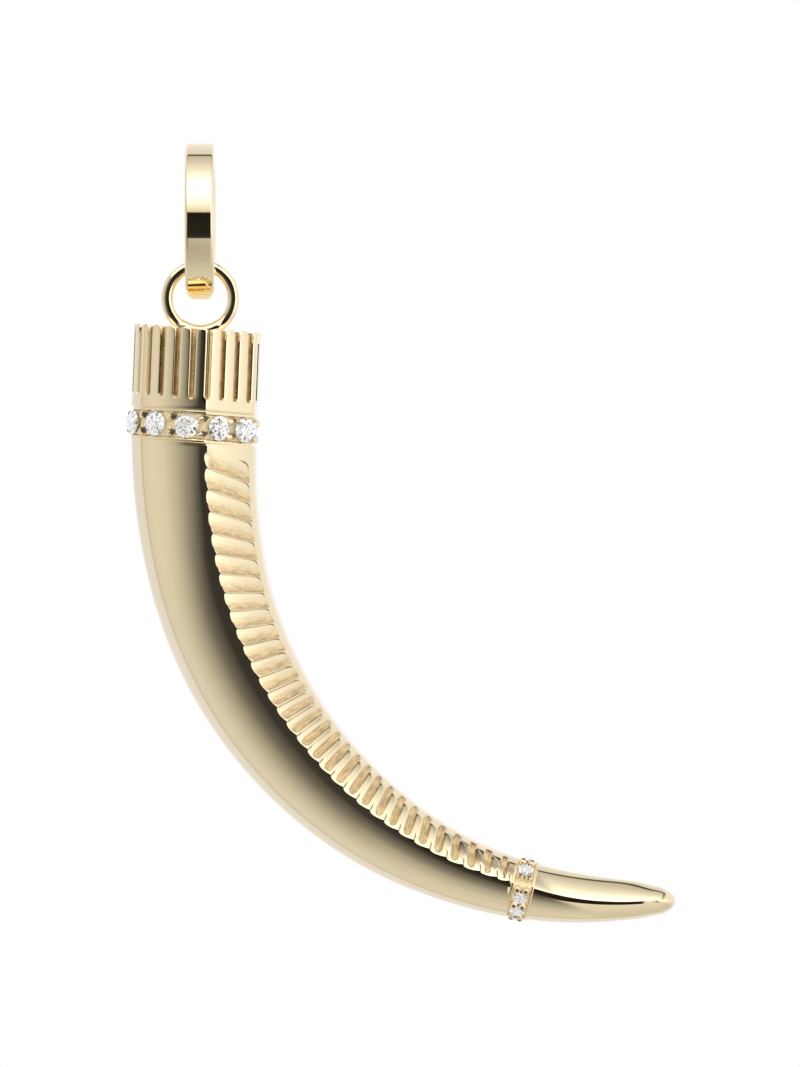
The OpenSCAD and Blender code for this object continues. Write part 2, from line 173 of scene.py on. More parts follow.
# Degrees from the front, the strength of the light there, and its tint
RIGHT = [(0, 0.75, WARM), (34, 1.4, NEUTRAL), (64, 1.0, NEUTRAL), (85, 0.88, NEUTRAL), (120, 0.9, COOL),
         (145, 1.0, COOL), (180, 1.05, COOL)]
OVERHEAD = [(0, 0.65, WARM), (13, 0.78, WARM), (22, 1.1, NEUTRAL), (34, 1.75, NEUTRAL),
            (50, 1.75, NEUTRAL), (59, 1.3, NEUTRAL), (68, 0.95, NEUTRAL), (80, 0.72, NEUTRAL),
            (91, 0.55, WARM), (92.5, 0.08, WARM), (96.5, 0.08, WARM), (98, 0.75, NEUTRAL),
            (120, 0.85, COOL), (180, 1.05, COOL)]
ABOVE = [(0, 0.6, WARM), (14, 0.7, WARM), (30, 1.4, NEUTRAL), (42, 1.3, NEUTRAL), (55, 0.75, ROSE),
         (68, 0.45, ROSE), (82, 0.25, ROSE), (90, 0.13, ROSE), (92, 0.08, WARM), (97, 0.08, WARM),
         (99, 0.85, COOL), (120, 0.95, COOL), (180, 1.05, COOL)]
SHADE = [(0, 0.035, NEUTRAL), (9, 0.04, NEUTRAL), (24, 0.3, WARM), (40, 0.54, WARM), (56, 0.7, WARM),
         (75, 0.75, WARM), (99, 0.7, WARM), (102, 0.6, WARM), (105, 0.6, WARM), (108, 0.8, COOL),
         (145, 0.8, COOL), (180, 1.05, COOL)]
DEEP_SHADE = [(0, 0.035, NEUTRAL), (16, 0.04, NEUTRAL), (30, 0.17, WARM), (46, 0.4, WARM), (64, 0.6, WARM),
              (83, 0.7, NEUTRAL), (98, 0.7, NEUTRAL), (101, 0.62, NEUTRAL), (104, 0.62, NEUTRAL),
              (107, 0.8, COOL), (145, 0.85, COOL), (180, 1.05, COOL)]
LOW_SHADE = [(0, 0.035, NEUTRAL), (18, 0.045, NEUTRAL), (28, 0.18, WARM), (40, 0.42, WARM),
             (60, 0.63, WARM), (80, 0.7, WARM), (99, 0.7, WARM), (102, 0.6, WARM), (105, 0.6, WARM),
             (108, 0.8, COOL), (145, 0.85, COOL), (180, 1.05, COOL)]
BELOW = [(0, 0.8, WARM), (22, 0.8, WARM), (40, 0.75, WARM), (60, 0.68, WARM), (75, 0.65, WARM),
         (99, 0.64, WARM), (102, 0.55, WARM), (105, 0.55, WARM), (108, 0.78, COOL), (180, 0.95, COOL)]
HALF_TURN = 180
RAMPS = (RIGHT, OVERHEAD, ABOVE, SHADE, DEEP_SHADE, LOW_SHADE, BELOW)
print("studio light:", len(RAMPS), "regions with", sum(len(rows) for rows in RAMPS), "steps in all")

# %% [markdown]
# ## Small helpers for node trees
#
# A world and a material are both trees of nodes. By hand they are drawn in the shader editor. In code the
# same few steps come back again and again: add a node, set its sockets, link it. The helpers below do one
# such step each, and give back the socket that the next step reads.

# %% Helpers for nodes
def add_node(tree, kind, **settings):
    node = tree.nodes.new(kind)
    for name, value in settings.items():
        setattr(node, name, value)
    return node


def feed(tree, socket, value):
    """Sets a socket to a plain value, or links it to another node's output."""
    if isinstance(value, bpy.types.NodeSocket):
        tree.links.new(value, socket)
    else:
        socket.default_value = value


def math_node(tree, operation, *values):
    node = add_node(tree, "ShaderNodeMath", operation=operation)
    for socket, value in zip(node.inputs, values):
        feed(tree, socket, value)
    return node.outputs[0]


def vector_node(tree, operation, *values):
    node = add_node(tree, "ShaderNodeVectorMath", operation=operation)
    for socket, value in zip(node.inputs, values):
        feed(tree, socket, value)
    return node.outputs["Value" if operation in ("DOT_PRODUCT", "LENGTH") else 0]


def map_range(tree, value, source=(0, 1), target=(0, 1), kind="LINEAR"):
    node = add_node(tree, "ShaderNodeMapRange", interpolation_type=kind)
    for end, place, result in zip(("Min", "Max"), source, target):
        node.inputs["From " + end].default_value = place
        node.inputs["To " + end].default_value = result
    tree.links.new(value, node.inputs["Value"])
    return node.outputs[0]


def soft_step(tree, value, edge):
    return map_range(tree, value, source=edge, kind="SMOOTHSTEP")


def noise(tree, place, scale, detail=2):
    node = add_node(tree, "ShaderNodeTexNoise")
    node.inputs["Scale"].default_value = scale
    node.inputs["Detail"].default_value = detail
    tree.links.new(place, node.inputs["Vector"])
    return node.outputs["Fac"]


def blend(tree, factor, a, b, kind="RGBA"):
    node = add_node(tree, "ShaderNodeMix", data_type=kind)
    for name, value in (("Factor", factor), ("A", a), ("B", b)):
        feed(tree, node.inputs[name], value)
    return node.outputs["Result"]


def ramp_of(tree, factor, rows, kind="LINEAR"):
    """A colour ramp whose rows, in rising order, are a place and a red, green and blue."""
    ramp = add_node(tree, "ShaderNodeValToRGB")
    ramp.color_ramp.interpolation = kind
    tree.links.new(factor, ramp.inputs[0])
    stops = ramp.color_ramp.elements
    stops.remove(stops[-1])
    for k, (place, colour) in enumerate(rows):
        stop = stops[0] if k == 0 else stops.new(place)
        stop.position = place
        stop.color = (*colour, 1)
    return ramp.outputs[0]


print("helpers for nodes: ready")

# %% [markdown]
# ## Directions in the studio
#
# The world asks for each ray which way it goes. Its angle from the front reads the ramps. Its place on the
# clock face, seen from the front, picks the region: right of the pendant, overhead, above and to the right,
# or below. Regions melt into each other over a soft edge, since a hard one would show in the gold.

# %% The world and its directions
# Where a region begins and ends to take over, as a share of the direction upwards, sideways or downwards
ABOVE_EDGE = (0.8, 0.9)
BESIDE_EDGE = (0.38, 0.44)
BELOW_EDGE = (0.15, 0.65)
world = bpy.data.worlds.new("studio")
bpy.context.scene.world = world
world.use_nodes = True
# Rays find this studio by bouncing out to it, so that a ray's kind decides what it sees there
world.cycles.sampling_method = "NONE"
sky = world.node_tree
sky.nodes.clear()

way = add_node(sky, "ShaderNodeTexCoord").outputs["Generated"]
frontwards = vector_node(sky, "DOT_PRODUCT", way, (0, -1, 0))
from_front = math_node(sky, "DIVIDE", math_node(sky, "ARCCOSINE", frontwards), math.pi)
clock_way = vector_node(sky, "NORMALIZE", vector_node(sky, "MULTIPLY", way, (1, 0, 1)))
upwards = vector_node(sky, "DOT_PRODUCT", clock_way, (0, 0, 1))
downwards = math_node(sky, "MULTIPLY", upwards, -1)


def light_ramp(rows):
    return ramp_of(sky, from_front, [(degrees / HALF_TURN, [strength * part for part in tint])
                                     for degrees, strength, tint in rows])


is_beside = soft_step(sky, vector_node(sky, "DOT_PRODUCT", clock_way, (1, 0, 0)), BESIDE_EDGE)
above = blend(sky, is_beside, light_ramp(OVERHEAD), light_ramp(ABOVE))
room = blend(sky, soft_step(sky, upwards, ABOVE_EDGE), light_ramp(RIGHT), above)
room = blend(sky, soft_step(sky, downwards, BELOW_EDGE), room, light_ramp(BELOW))
print("world:", len(sky.nodes), "nodes so far")

# %% [markdown]
# ## A black card and the shade side
#
# A photographer holds up a black card to give bright metal a strong dark. Here it is a rectangle, seen
# square on, and it draws the black bar across the bail. The other darks come from the shade side, left and
# below, which draws the long black band down the claw's back. It is deepest where it faces down and left.

# %% The card and the shade
DARK = (0.014, 0.012, 0.01, 1)
# Soft edges of the card, in its height, its height turned over, its breadth and its reach to the front
CARD_FOOT, CARD_TOP, CARD_SIDE, CARD_FRONT = (-0.375, -0.35), (-0.205, -0.18), (-0.3, -0.24), (0.0, 0.3)
# Soft edges of the shade side, to the left and downwards, and of its deeper parts, downwards
SHADE_SIDE, SHADE_TOP, DEEP_EDGE, LOW_EDGE = (-0.12, -0.065), (-0.68, -0.56), (0.1, 0.45), (0.88, 0.97)
height = vector_node(sky, "DOT_PRODUCT", way, (0, 0, 1))
breadth = math_node(sky, "ABSOLUTE", vector_node(sky, "DOT_PRODUCT", way, (1, 0, 0)))
card = soft_step(sky, height, CARD_FOOT)
for value, edge in ((math_node(sky, "MULTIPLY", height, -1), CARD_TOP),
                    (math_node(sky, "MULTIPLY", breadth, -1), CARD_SIDE), (frontwards, CARD_FRONT)):
    card = math_node(sky, "MULTIPLY", card, soft_step(sky, value, edge))
room = blend(sky, card, room, DARK)
leftwards = vector_node(sky, "DOT_PRODUCT", way, (-1, 0, 0))
is_shade = math_node(sky, "MULTIPLY", soft_step(sky, leftwards, SHADE_SIDE),
                     soft_step(sky, downwards, SHADE_TOP))
shade = blend(sky, soft_step(sky, downwards, DEEP_EDGE), light_ramp(SHADE), light_ramp(DEEP_SHADE))
shade = blend(sky, soft_step(sky, downwards, LOW_EDGE), shade, light_ramp(LOW_SHADE))
room = blend(sky, is_shade, room, shade)
print("world:", len(sky.nodes), "nodes with the card and the shade")

# %% [markdown]
# ## Glints, fill and backdrop
#
# Three kinds of ray see something else than the plain room. Through a cut stone the room is seen broken up
# into many small lights and darks. Matt and milky surfaces also get the fill of the white paper round the
# jeweller's light tent. And the camera itself sees a white backdrop, as in a catalogue.

# %% What each kind of ray sees
GLINT_CELLS = 12
GLINTS = [(0, 0.2), (0.3, 1.2), (0.55, 2.2), (1, 3.2)]
THROUGH_STONE = (0.2, 0.8)
FILL = (1.7, 1.7, 1.7, 1)
BACKDROP = (1, 1, 1, 1)
path = add_node(sky, "ShaderNodeLightPath").outputs
cells = add_node(sky, "ShaderNodeTexVoronoi")
cells.inputs["Scale"].default_value = GLINT_CELLS
sky.links.new(way, cells.inputs["Vector"])
split = add_node(sky, "ShaderNodeSeparateColor")
sky.links.new(cells.outputs["Color"], split.inputs[0])
glint = ramp_of(sky, split.outputs[0], [(place, (level,) * 3) for place, level in GLINTS])
room = blend(sky, soft_step(sky, path["Transmission Depth"], THROUGH_STONE), room, glint)
room = blend(sky, path["Is Diffuse Ray"], room, FILL)
studio = add_node(sky, "ShaderNodeBackground")
sky.links.new(room, studio.inputs["Color"])
backdrop = add_node(sky, "ShaderNodeBackground")
backdrop.inputs["Color"].default_value = BACKDROP
either = add_node(sky, "ShaderNodeMixShader")
for socket, source in zip(either.inputs, (path["Is Camera Ray"], studio.outputs[0], backdrop.outputs[0])):
    sky.links.new(source, socket)
sky.links.new(either.outputs[0], add_node(sky, "ShaderNodeOutputWorld").inputs["Surface"])
bpy.context.scene.view_settings.view_transform = "Standard"
print("world:", len(sky.nodes), "nodes,", bpy.context.scene.view_settings.view_transform, "view")

# %% [markdown]
# ## Gold
#
# The metal is one alloy with two finishes, and a painted shade. Polished gold is almost a mirror, with a faint
# unevenness left by the polishing wheel. The floors of the flutes were left matt as they came from the mould,
# so they are rough, slightly granular, streaked along the flute, and deeper in colour. The brown shadow in the
# fine grooves, the hollows, the slots' ends and on the beads is painted shade in the metal's colour. Separate
# materials would need separate faces and would meet at hard lines. Instead each piece carries two attributes,
# one for the matt finish and one for the painted shade, and one material mixes them point by point.

# %% Gold
PALE_GOLD = (1.0, 0.86, 0.585, 1)
MATT_GOLD = (0.98, 0.73, 0.4, 1)
# The brown of the painted shade in grooves, hollows and corners
PAINTED_SHADE_BROWN = (0.11, 0.07, 0.04, 1)
# Grain of the matt skin: its size, its share beside the streaks, its contrast, and its darker shade
SPECK_SCALE, SPECK_SHARE, MOTTLE_EDGE, MOTTLE_SHADE = 7000, 0.35, (0.39, 0.61), 0.6
# The polish varies between these parts of its roughness
POLISH_RANGE = (0.6, 1.5)
RELIEF_STRENGTH, RELIEF_DEPTH = 0.6, 0.05


def attribute(tree, name, output="Fac"):
    return add_node(tree, "ShaderNodeAttribute", attribute_name=name).outputs[output]


def gold(name, matt_colour=MATT_GOLD, matt_roughness=0.42, grain=0.5, polish=0.045, unevenness=0.04,
         wave_scale=160, softness=0.0):
    material = bpy.data.materials.new(name)
    material.use_nodes = True
    tree = material.node_tree
    metal = tree.nodes["Principled BSDF"].inputs
    place = add_node(tree, "ShaderNodeTexCoord").outputs["Object"]
    matt = attribute(tree, "matt")
    # Where light bounces about between walls, matt metal looks soft from every side
    hardness = math_node(tree, "SUBTRACT", 1.0, math_node(tree, "MULTIPLY", matt, softness))
    feed(tree, metal["Metallic"], hardness)
    wave = noise(tree, place, wave_scale)
    speck = noise(tree, place, SPECK_SCALE, 3)
    # Streaks left by the mould run along each flute
    streak = noise(tree, attribute(tree, "lie", "Vector"), 1)
    skin = math_node(tree, "ADD", math_node(tree, "MULTIPLY", speck, SPECK_SHARE),
                     math_node(tree, "MULTIPLY", streak, 1 - SPECK_SHARE))
    # Colour: pale where polished, deeper and mottled where matt, and darkened towards brown by the painted
    # shade
    shaded = (*(MOTTLE_SHADE * part for part in matt_colour[:3]), 1)
    mottle = blend(tree, map_range(tree, skin, source=MOTTLE_EDGE), shaded, matt_colour)
    colour = blend(tree, matt, PALE_GOLD, mottle)
    feed(tree, metal["Base Color"], blend(tree, attribute(tree, "painted_shade"), colour, PAINTED_SHADE_BROWN))
    # Roughness: a mirror with soft patches, or the skin of a casting
    patches = map_range(tree, wave, target=[part * polish for part in POLISH_RANGE])
    feed(tree, metal["Roughness"], blend(tree, matt, patches, matt_roughness, "FLOAT"))
    # Relief: grain in the matt floors, next to nothing on the polished faces
    grains = math_node(tree, "MULTIPLY", math_node(tree, "MULTIPLY", speck, matt), grain)
    waves = math_node(tree, "MULTIPLY", wave, unevenness)
    relief = add_node(tree, "ShaderNodeBump")
    relief.inputs["Strength"].default_value = RELIEF_STRENGTH
    relief.inputs["Distance"].default_value = RELIEF_DEPTH * MM
    feed(tree, relief.inputs["Height"], math_node(tree, "ADD", grains, waves))
    feed(tree, metal["Normal"], relief.outputs[0])
    return material


claw_gold = gold("claw_gold")
# The cap's matt floors are a deeper brown-orange: partly the matt metal, partly painted bounce light
cap_gold = gold("cap_gold", matt_colour=(0.88, 0.62, 0.32, 1), matt_roughness=0.5, grain=0.8)
collar_gold = gold("collar_gold", matt_colour=(0.94, 0.77, 0.47, 1), matt_roughness=0.6, grain=0.15,
                   polish=0.14, unevenness=0.35, wave_scale=1800, softness=0.85)
bead_gold = gold("bead_gold", polish=0.12, unevenness=0.1)
plain_gold = gold("polished_gold")
print("finishes:", *(finish.name for finish in (claw_gold, cap_gold, collar_gold, bead_gold, plain_gold)))

# %% [markdown]
# ## The line of the claw
#
# A horn carver thinks of a claw as a row of slices on a bent line. The middle line starts nearly straight
# down, bends gently and then more strongly, and runs straight at the tip. A drawn curve could carry the
# slices, but two arcs are enough, and every later piece can ask them for a place and a direction.

# %% Middle line
START = (-0.387, -18.15)
START_HEADING = 90.6
# Where each bend ends along the line, and its radius
BENDS = [(8.0, 37.7), (44.3, 26.9)]
CLAW_LENGTH = 48.75


def heading(s):
    """Direction of the middle line below the horizontal, in radians."""
    s = np.asarray(s, float)
    turn, since = np.minimum(s, 0) / BENDS[0][1], 0.0
    for until, radius in BENDS:
        turn = turn + (np.clip(s, since, until) - since) / radius
        since = until
    return math.radians(START_HEADING) - turn


def along(h):
    return np.stack([np.cos(h), -np.sin(h)], -1)


def across(h):
    return np.stack([np.sin(h), np.cos(h)], -1)


def middle(s):
    """Point of the middle line as x, z."""
    s = np.asarray(s, float)
    place, since, h0 = np.array(START), 0.0, math.radians(START_HEADING)
    point = np.zeros(s.shape + (2,))
    for until, radius in BENDS:
        reach = (np.minimum(s, until) - since) / radius
        inside = (s >= since) | (since == 0.0)
        arc = place + radius * (across(h0) - across(h0 - reach))
        point = np.where(inside[..., None], arc, point)
        end = (until - since) / radius
        place = place + radius * (across(h0) - across(h0 - end))
        h0, since = h0 - end, until
    straight = place + (s - since)[..., None] * along(h0)
    return np.where((s > since)[..., None], straight, point)


print("the middle line ends at", np.round(middle(np.array([CLAW_LENGTH]))[0], 2))

# %% [markdown]
# ## Slices
#
# A slice of the claw is rounded outside. Its side is flat and turned away a little, with a crease at its
# front, and inside runs a narrow strip. Twelve slices are written down, and the ones between are read off a
# smooth curve through them. The back mirrors the front, so only the front half is worked out.

# %% Slices
ROUND_FROM = 47.6
DEPTH_SHARE = 0.9
SIDE_TURN = math.radians(34)
# Place along the line, width, place of the crease across the width, and bulge of the inner strip
SLICES = np.array([
    (0, 8.2, 0.6, 0.27), (8, 7.73, 0.605, 0.33), (16, 7.17, 0.61, 0.35), (22, 6.46, 0.615, 0.38),
    (28, 5.62, 0.615, 0.44), (34, 4.52, 0.615, 0.52), (38, 3.9, 0.61, 0.46), (42, 3.27, 0.52, 0.3),
    (45, 2.69, 0.48, 0.27), (46.5, 2.32, 0.5, 0.2), (47.5, 1.87, 0.54, 0.14), (48.75, 1.5, 0.58, 0.1),
])
# Outward bow of the turned side as a share of the width, how much less that is where the claw is wide, and
# the widths between which it changes
BOW_SHARE, BOW_LOSS, BOW_WIDTHS = 0.017, 0.002, (3, 7)


def read(table, column, x):
    """Smooth reading of a table: a cubic through the rows, with their neighbours' slopes."""
    x = np.asarray(x, float)
    xs, ys = table[:, 0], table[:, column]
    last = len(xs) - 1
    i = np.clip(np.searchsorted(xs, x, side="right") - 1, 0, last - 1)
    low, high = np.maximum(np.arange(last + 1) - 1, 0), np.minimum(np.arange(last + 1) + 1, last)
    slopes = (ys[high] - ys[low]) / (xs[high] - xs[low])
    h = xs[i + 1] - xs[i]
    t = (x - xs[i]) / h
    return ((2 * t**3 - 3 * t**2 + 1) * ys[i] + (t**3 - 2 * t**2 + t) * h * slopes[i]
            + (3 * t**2 - 2 * t**3) * ys[i + 1] + (t**3 - t**2) * h * slopes[i + 1])


def shape_at(s):
    """Width, crease and strip of a slice. The last ones shrink to a round end."""
    past = np.maximum(s - ROUND_FROM, 0) / (CLAW_LENGTH - ROUND_FROM)
    shrink = np.sqrt(np.clip(1 - past**2, 0, 1))
    return read(SLICES, 1, s) * shrink, read(SLICES, 2, s), read(SLICES, 3, s) * shrink


def dorsal_point(w, c, angle):
    """Point of the rounded outer side, at an angle from the crease."""
    return (c - 0.5) * w - c * w * np.sin(angle), -DEPTH_SHARE * w / 2 * np.cos(angle)


def inner_edge(w, c, e):
    """Place of the corner between the turned side and the strip."""
    u = w / 2 - e
    return u, -(DEPTH_SHARE * w / 2 - (u - (c - 0.5) * w) * math.tan(SIDE_TURN))


def bow_of(w):
    narrow, wide = BOW_WIDTHS
    return (BOW_SHARE - BOW_LOSS * np.clip((w - narrow) / (wide - narrow), 0, 1)) * w


print("slices:", len(SLICES), "from", SLICES[0, 1], "to", SLICES[-1, 1], "mm wide")

# %% [markdown]
# ## Lobes on the flank
#
# Each flank of the claw has thirty-one lobes, like reeds laid side by side, parted by fine grooves. In the
# lower half of each lobe a slot with a matt floor is cut. Thirty-one cuts with booleans on a bent solid
# leave ragged edges. So the claw is made as a sheet instead: a grid whose rows follow the lobes. The rows
# stand close where something turns, and far apart where nothing happens. The next cell says where they go.

# %% Rows of the claw's sheet
COLLAR_HEADING, TIP_COLLAR_HEADING = 94.4, 12.3
TIP_COLLAR_AT, TIP_AT = 38.0, 39.49
LAST_FLUTE = 30
# The last lobe and its slot are smaller, and the last two slots narrow towards the crease
LAST_SHARE, LAST_SLOT_SHARE = 0.85, 0.8
TAPERS = {LAST_FLUTE: 0.85, LAST_FLUTE - 1: 0.3}
LAST_STOP = 0.4
# Number of a flute, and its place on the crease and on the inner edge
FLUTES = np.array([
    (0, 1.05, 2.42), (2, 3.93, 5.22), (4, 6.8, 7.92), (8, 12.0, 12.7), (12, 16.75, 17.1), (16, 21.3, 21.3),
    (20, 25.8, 25.6), (24, 30.35, 29.95), (28, 35.1, 34.7), (30, 37.45, 37.1),
])
# Number of a lobe, and where its groove and its slot's middle lie beside that number
GROOVE_PLACES = np.array([(0, -0.6), (14, -0.6), (20, -0.5), (26, -0.4), (31, -0.36)])
SLOT_PLACES = np.array([(0, 0.14), (8, 0.13), (11, 0.03), (16, 0.02), (22, 0.05), (31, 0.06)])
SLOT_HALF = 0.235
# Shares of the way from the groove to the slot, across the slot, and from the slot to the next groove
BEFORE_SLOT = np.array([0, 0.03, 0.07, 0.12, 0.18, 0.26, 0.38, 0.54, 0.72, 0.88, 0.97])
IN_SLOT = np.array([-1, -0.86, -0.7, -0.4, 0, 0.4, 0.7, 0.86, 1])
AFTER_SLOT = np.array([0.1, 0.25, 0.42, 0.58, 0.72, 0.84, 0.92, 0.97])
# Shares of the way from the collar to the first groove, and from the last lobe to the lower collar. The
# claw reaches a little under both collars
TO_FIRST_GROOVE = (-0.04, 0.1, 0.3, 0.5, 0.66, 0.78, 0.86, 0.91, 0.945, 0.97, 0.987)
CARVED_FROM = 0.3
TO_TIP_COLLAR = (0, 0.5, 1.06)
# A distance at which nothing is carved
FAR = 9


def row(crease, edge, slant=0, over=FAR, under=FAR, beside=FAR, half=0.2, pitch=1, taper=0, on=0,
        first_over=0, first_under=0):
    """One row: its places on the crease and the inner edge, its slant, and what its lobe is like.

    over and under are the distances from the grooves before and behind, and beside that from the slot's
    middle. half is half the slot's width. on says that the row is carved. The last two mark the first
    groove, of which only the hook is cut."""
    return crease, edge, slant, over, under, beside, half, pitch, taper, on, first_over, first_under


def flute_place(f):
    return float(read(FLUTES, 1, f)), float(read(FLUTES, 2, f))


def groove_before(n):
    """Place of the groove in front of a lobe, counted in lobes."""
    return n + float(read(GROOVE_PLACES, 1, min(n, LAST_FLUTE + 1)))


def lobe_rows(n):
    last = n == LAST_FLUTE
    pitch = float(read(FLUTES, 1, n + 0.5) - read(FLUTES, 1, n - 0.5))
    slot, half = n + float(read(SLOT_PLACES, 1, n)), (LAST_SLOT_SHARE if last else 1) * SLOT_HALF
    start = groove_before(n)
    stop = n + LAST_STOP * LAST_SHARE if last else groove_before(n + 1)
    places = np.concatenate([start + (slot - half - start) * BEFORE_SLOT, slot + half * IN_SLOT,
                             slot + half + (stop - slot - half) * AFTER_SLOT])
    return stop, [row(*flute_place(f), 0, (f - start) * pitch, (stop - f) * pitch, (f - slot) * pitch,
                      half * pitch, pitch, TAPERS.get(n, 0), 1, n == 0) for f in places]


def sheet_rows():
    first = flute_place(groove_before(0))
    lean = math.tan(math.radians(COLLAR_HEADING - START_HEADING))
    rows = [row(t * first[0], t * first[1], (1 - t) * lean, under=(1 - t) * first[1], on=t > CARVED_FROM,
                first_under=1) for t in TO_FIRST_GROOVE]
    for n in range(LAST_FLUTE + 1):
        stop, lobe = lobe_rows(n)
        rows += lobe
    last = flute_place(stop)
    lean = math.tan(math.radians(TIP_COLLAR_HEADING) - float(heading(TIP_COLLAR_AT)))
    rows += [row(last[0] + t * (TIP_COLLAR_AT - last[0]), last[1] + t * (TIP_COLLAR_AT - last[1]), t * lean)
             for t in TO_TIP_COLLAR]
    return np.array(rows, float)


class Lobes:
    """The rows' values by their names, each as an upright column."""

    def __init__(self, rows):
        (self.crease, self.edge, self.slant, self.over, self.under, self.beside, self.half, self.pitch,
         self.taper, self.on, self.first_over, self.first_under) = np.hsplit(rows, rows.shape[1])


rows = sheet_rows()
print("rows:", len(rows), "for", LAST_FLUTE + 1, "lobes")

# %% [markdown]
# ## Gravers' helpers
#
# What an engraver does by feel is put into a few small curves here, since all that is cut into the sheet is
# a depth at each of its points: a soft step, a smear round a line, the round shoulder beside a groove, a line
# that turns a rounded corner, and a value that changes down the claw.

# %% Soft curves
def step_up(x, low, high):
    t = np.clip((x - low) / (high - low), 0, 1)
    return t * t * (3 - 2 * t)


def step_down(x, low, high):
    return 1 - step_up(x, low, high)


def spot_of(distance, width):
    """A round smear that is 1 in its middle."""
    return np.exp(-(distance / width) ** 2)


def round_groove(distance, radius):
    """How far a rounded shoulder has fallen at a distance from the groove at its foot, from 1 to 0."""
    q = np.clip(1 - distance / radius, 0, 1)
    return 1 - np.sqrt(1 - q * q)


def round_corner(distance, past, radius):
    """Distance from a line that turns a rounded corner, for a point that lies past the corner's start."""
    return np.where(past > 0, radius - np.hypot(past, np.maximum(radius - distance, 0)), distance)


def between(ends, share):
    return ends[0] + (ends[1] - ends[0]) * share


print("a shoulder half way down:", round(float(round_groove(0.5, 1.0)), 3))

# %% [markdown]
# ## The fine groove
#
# Between two lobes a graver has drawn a hair-fine line. It runs along the land from the crease, and turns
# round the land's inner end in a small hook. Low down on the claw it is only a short tick at the crease.

# %% Groove and hook
GROOVE_WIDTH, GROOVE_DEPTH = 0.045, 0.06
HOOK_CORNER, HOOK_BACK = 0.36, 0.06
# How far the hook reaches from its groove: where it starts and ends to fade, at the top and further down
HOOK_FADES = ((0.24, 0.12), (0.52, 0.26))
ONLY_HOOK = (0.9, 0.5)
TICK = (0.3, 0.6)


def groove_at(lobe, x, length, low, short):
    """How much of a groove there is at places x along the side, from 0 to 1."""
    past = np.maximum(x - (length - HOOK_BACK - HOOK_CORNER), 0)
    inside = round_corner(lobe.over, past, HOOK_CORNER)
    outside = np.where(past > 0, np.hypot(past, HOOK_CORNER + lobe.under) - HOOK_CORNER, lobe.under)
    only_hook = step_up(x, length - ONLY_HOOK[0], length - ONLY_HOOK[1])
    faded = step_down(lobe.over, *(between(fade, short) for fade in HOOK_FADES))
    hook = spot_of(inside, GROOVE_WIDTH) * faded * np.where(lobe.first_over > 0, only_hook, 1)
    before = spot_of(outside, GROOVE_WIDTH) * np.where(lobe.first_under > 0, only_hook, 1)
    return np.maximum(hook, before) * (1 - low + low * step_down(x, *TICK))


print("grooves:", GROOVE_WIDTH, "mm wide and", GROOVE_DEPTH, "mm deep")

# %% [markdown]
# ## The slots
#
# A slot is round at the crease and closes towards the inner strip, where its floor rises. At the top of the
# claw the lands melt into the slots, because the wheel has rounded them over. Low down the slots are crisp.
# So each number comes as a pair, for the top and for low down, or the two kinds of wall are mixed.

# %% Slot
FLOOR_DEPTH, SLOT_START, SLOT_OVERRUN, SLOT_CLOSING = (0.08, 0.2), (0.06, 0.14), (0.08, 0.46), (0.34, 0.12)
# Where a wall and its matt skin begin and end: the soft ones in halves of the slot, the crisp ones in mm
SOFT_WALL, SOFT_SKIN = (-2.4, 0.5), (-3.0, 1.0)
SOFT_WALL_FOOT, SOFT_SKIN_FOOT = (-0.02, 0.05), (-0.05, 0.0)
CRISP_WALL, CRISP_SKIN = (-0.035, 0.03), (-0.05, -0.01)
# The floor rises by a share before the slot's end, the skin ends there, and the first slot fades in
FLOOR_RISE, RISE_BETWEEN, SKIN_ENDS, FADE_IN = 0.8, (0.9, 0.1), (0.15, 0.06), (0.1, 0.45)


def slot_at(lobe, half, x, length, low):
    """How open the slot is, the depth and the matt skin of its floor, and where it ends."""
    before = np.maximum(between(SLOT_START, low) + half - x, 0)
    gap = np.hypot(before, lobe.beside) - half
    foot_gap = np.hypot(before, np.maximum(lobe.beside, 0)) - half
    end = length + between(SLOT_OVERRUN, low)
    soft = step_up(lobe.beside, *(k * half for k in SOFT_WALL)) * step_down(foot_gap, *SOFT_WALL_FOOT)
    slot = soft * (1 - low) + step_down(gap, *CRISP_WALL) * low
    slot = slot * step_down(x, end - between(SLOT_CLOSING, low), end)
    fade_in = np.where(lobe.first_over > 0, step_up(x, *FADE_IN), 1)
    rise = 1 - FLOOR_RISE * step_up(x, *(end - k for k in RISE_BETWEEN))
    depth = between(FLOOR_DEPTH, low) * slot * rise * fade_in
    soft_skin = step_up(lobe.beside, *(k * half for k in SOFT_SKIN)) * step_down(foot_gap, *SOFT_SKIN_FOOT)
    skin = soft_skin * fade_in * (1 - low) + step_down(gap, *CRISP_SKIN) * low
    return slot, depth, skin * step_down(x, *(end - k for k in SKIN_ENDS)), end


print("slots:", *FLOOR_DEPTH, "mm deep at the top and low down")

# %% [markdown]
# ## The hollows
#
# Low down the land between two slots is hollowed under an arch, which leans on the slot before it. The
# hollow is hardly sunk at all: what the eye sees is the brown shadow along its wall and in its corner. That
# shadow is painted shade in the metal's colour, and not left to the light alone.

# %% Hollow
ARCH_CORNER, ARCH_SHARE, ARCH_OVERRUN, ARCH_EDGE = 0.42, 0.8, 0.04, 0.07
HOLLOW_DEPTH = 0.02
# Shares of the side's length between which the hollow sinks, and its two long shadows begin
SINKS, WALL_BEGINS, INNER_BEGINS = (0.35, 0.9), (0.25, 0.8), (0.4, 1)
WALL_SHADOW, INNER_SHADOW, INNER_FALL = 0.09, 0.5, 0.5
# The corner's shadow: its strength, its size, and its place inwards and across
CORNER_SHADOW, CORNER_SIZE, CORNER_IN, CORNER_OFF = 1.2, 0.2, 0.03, 0.06


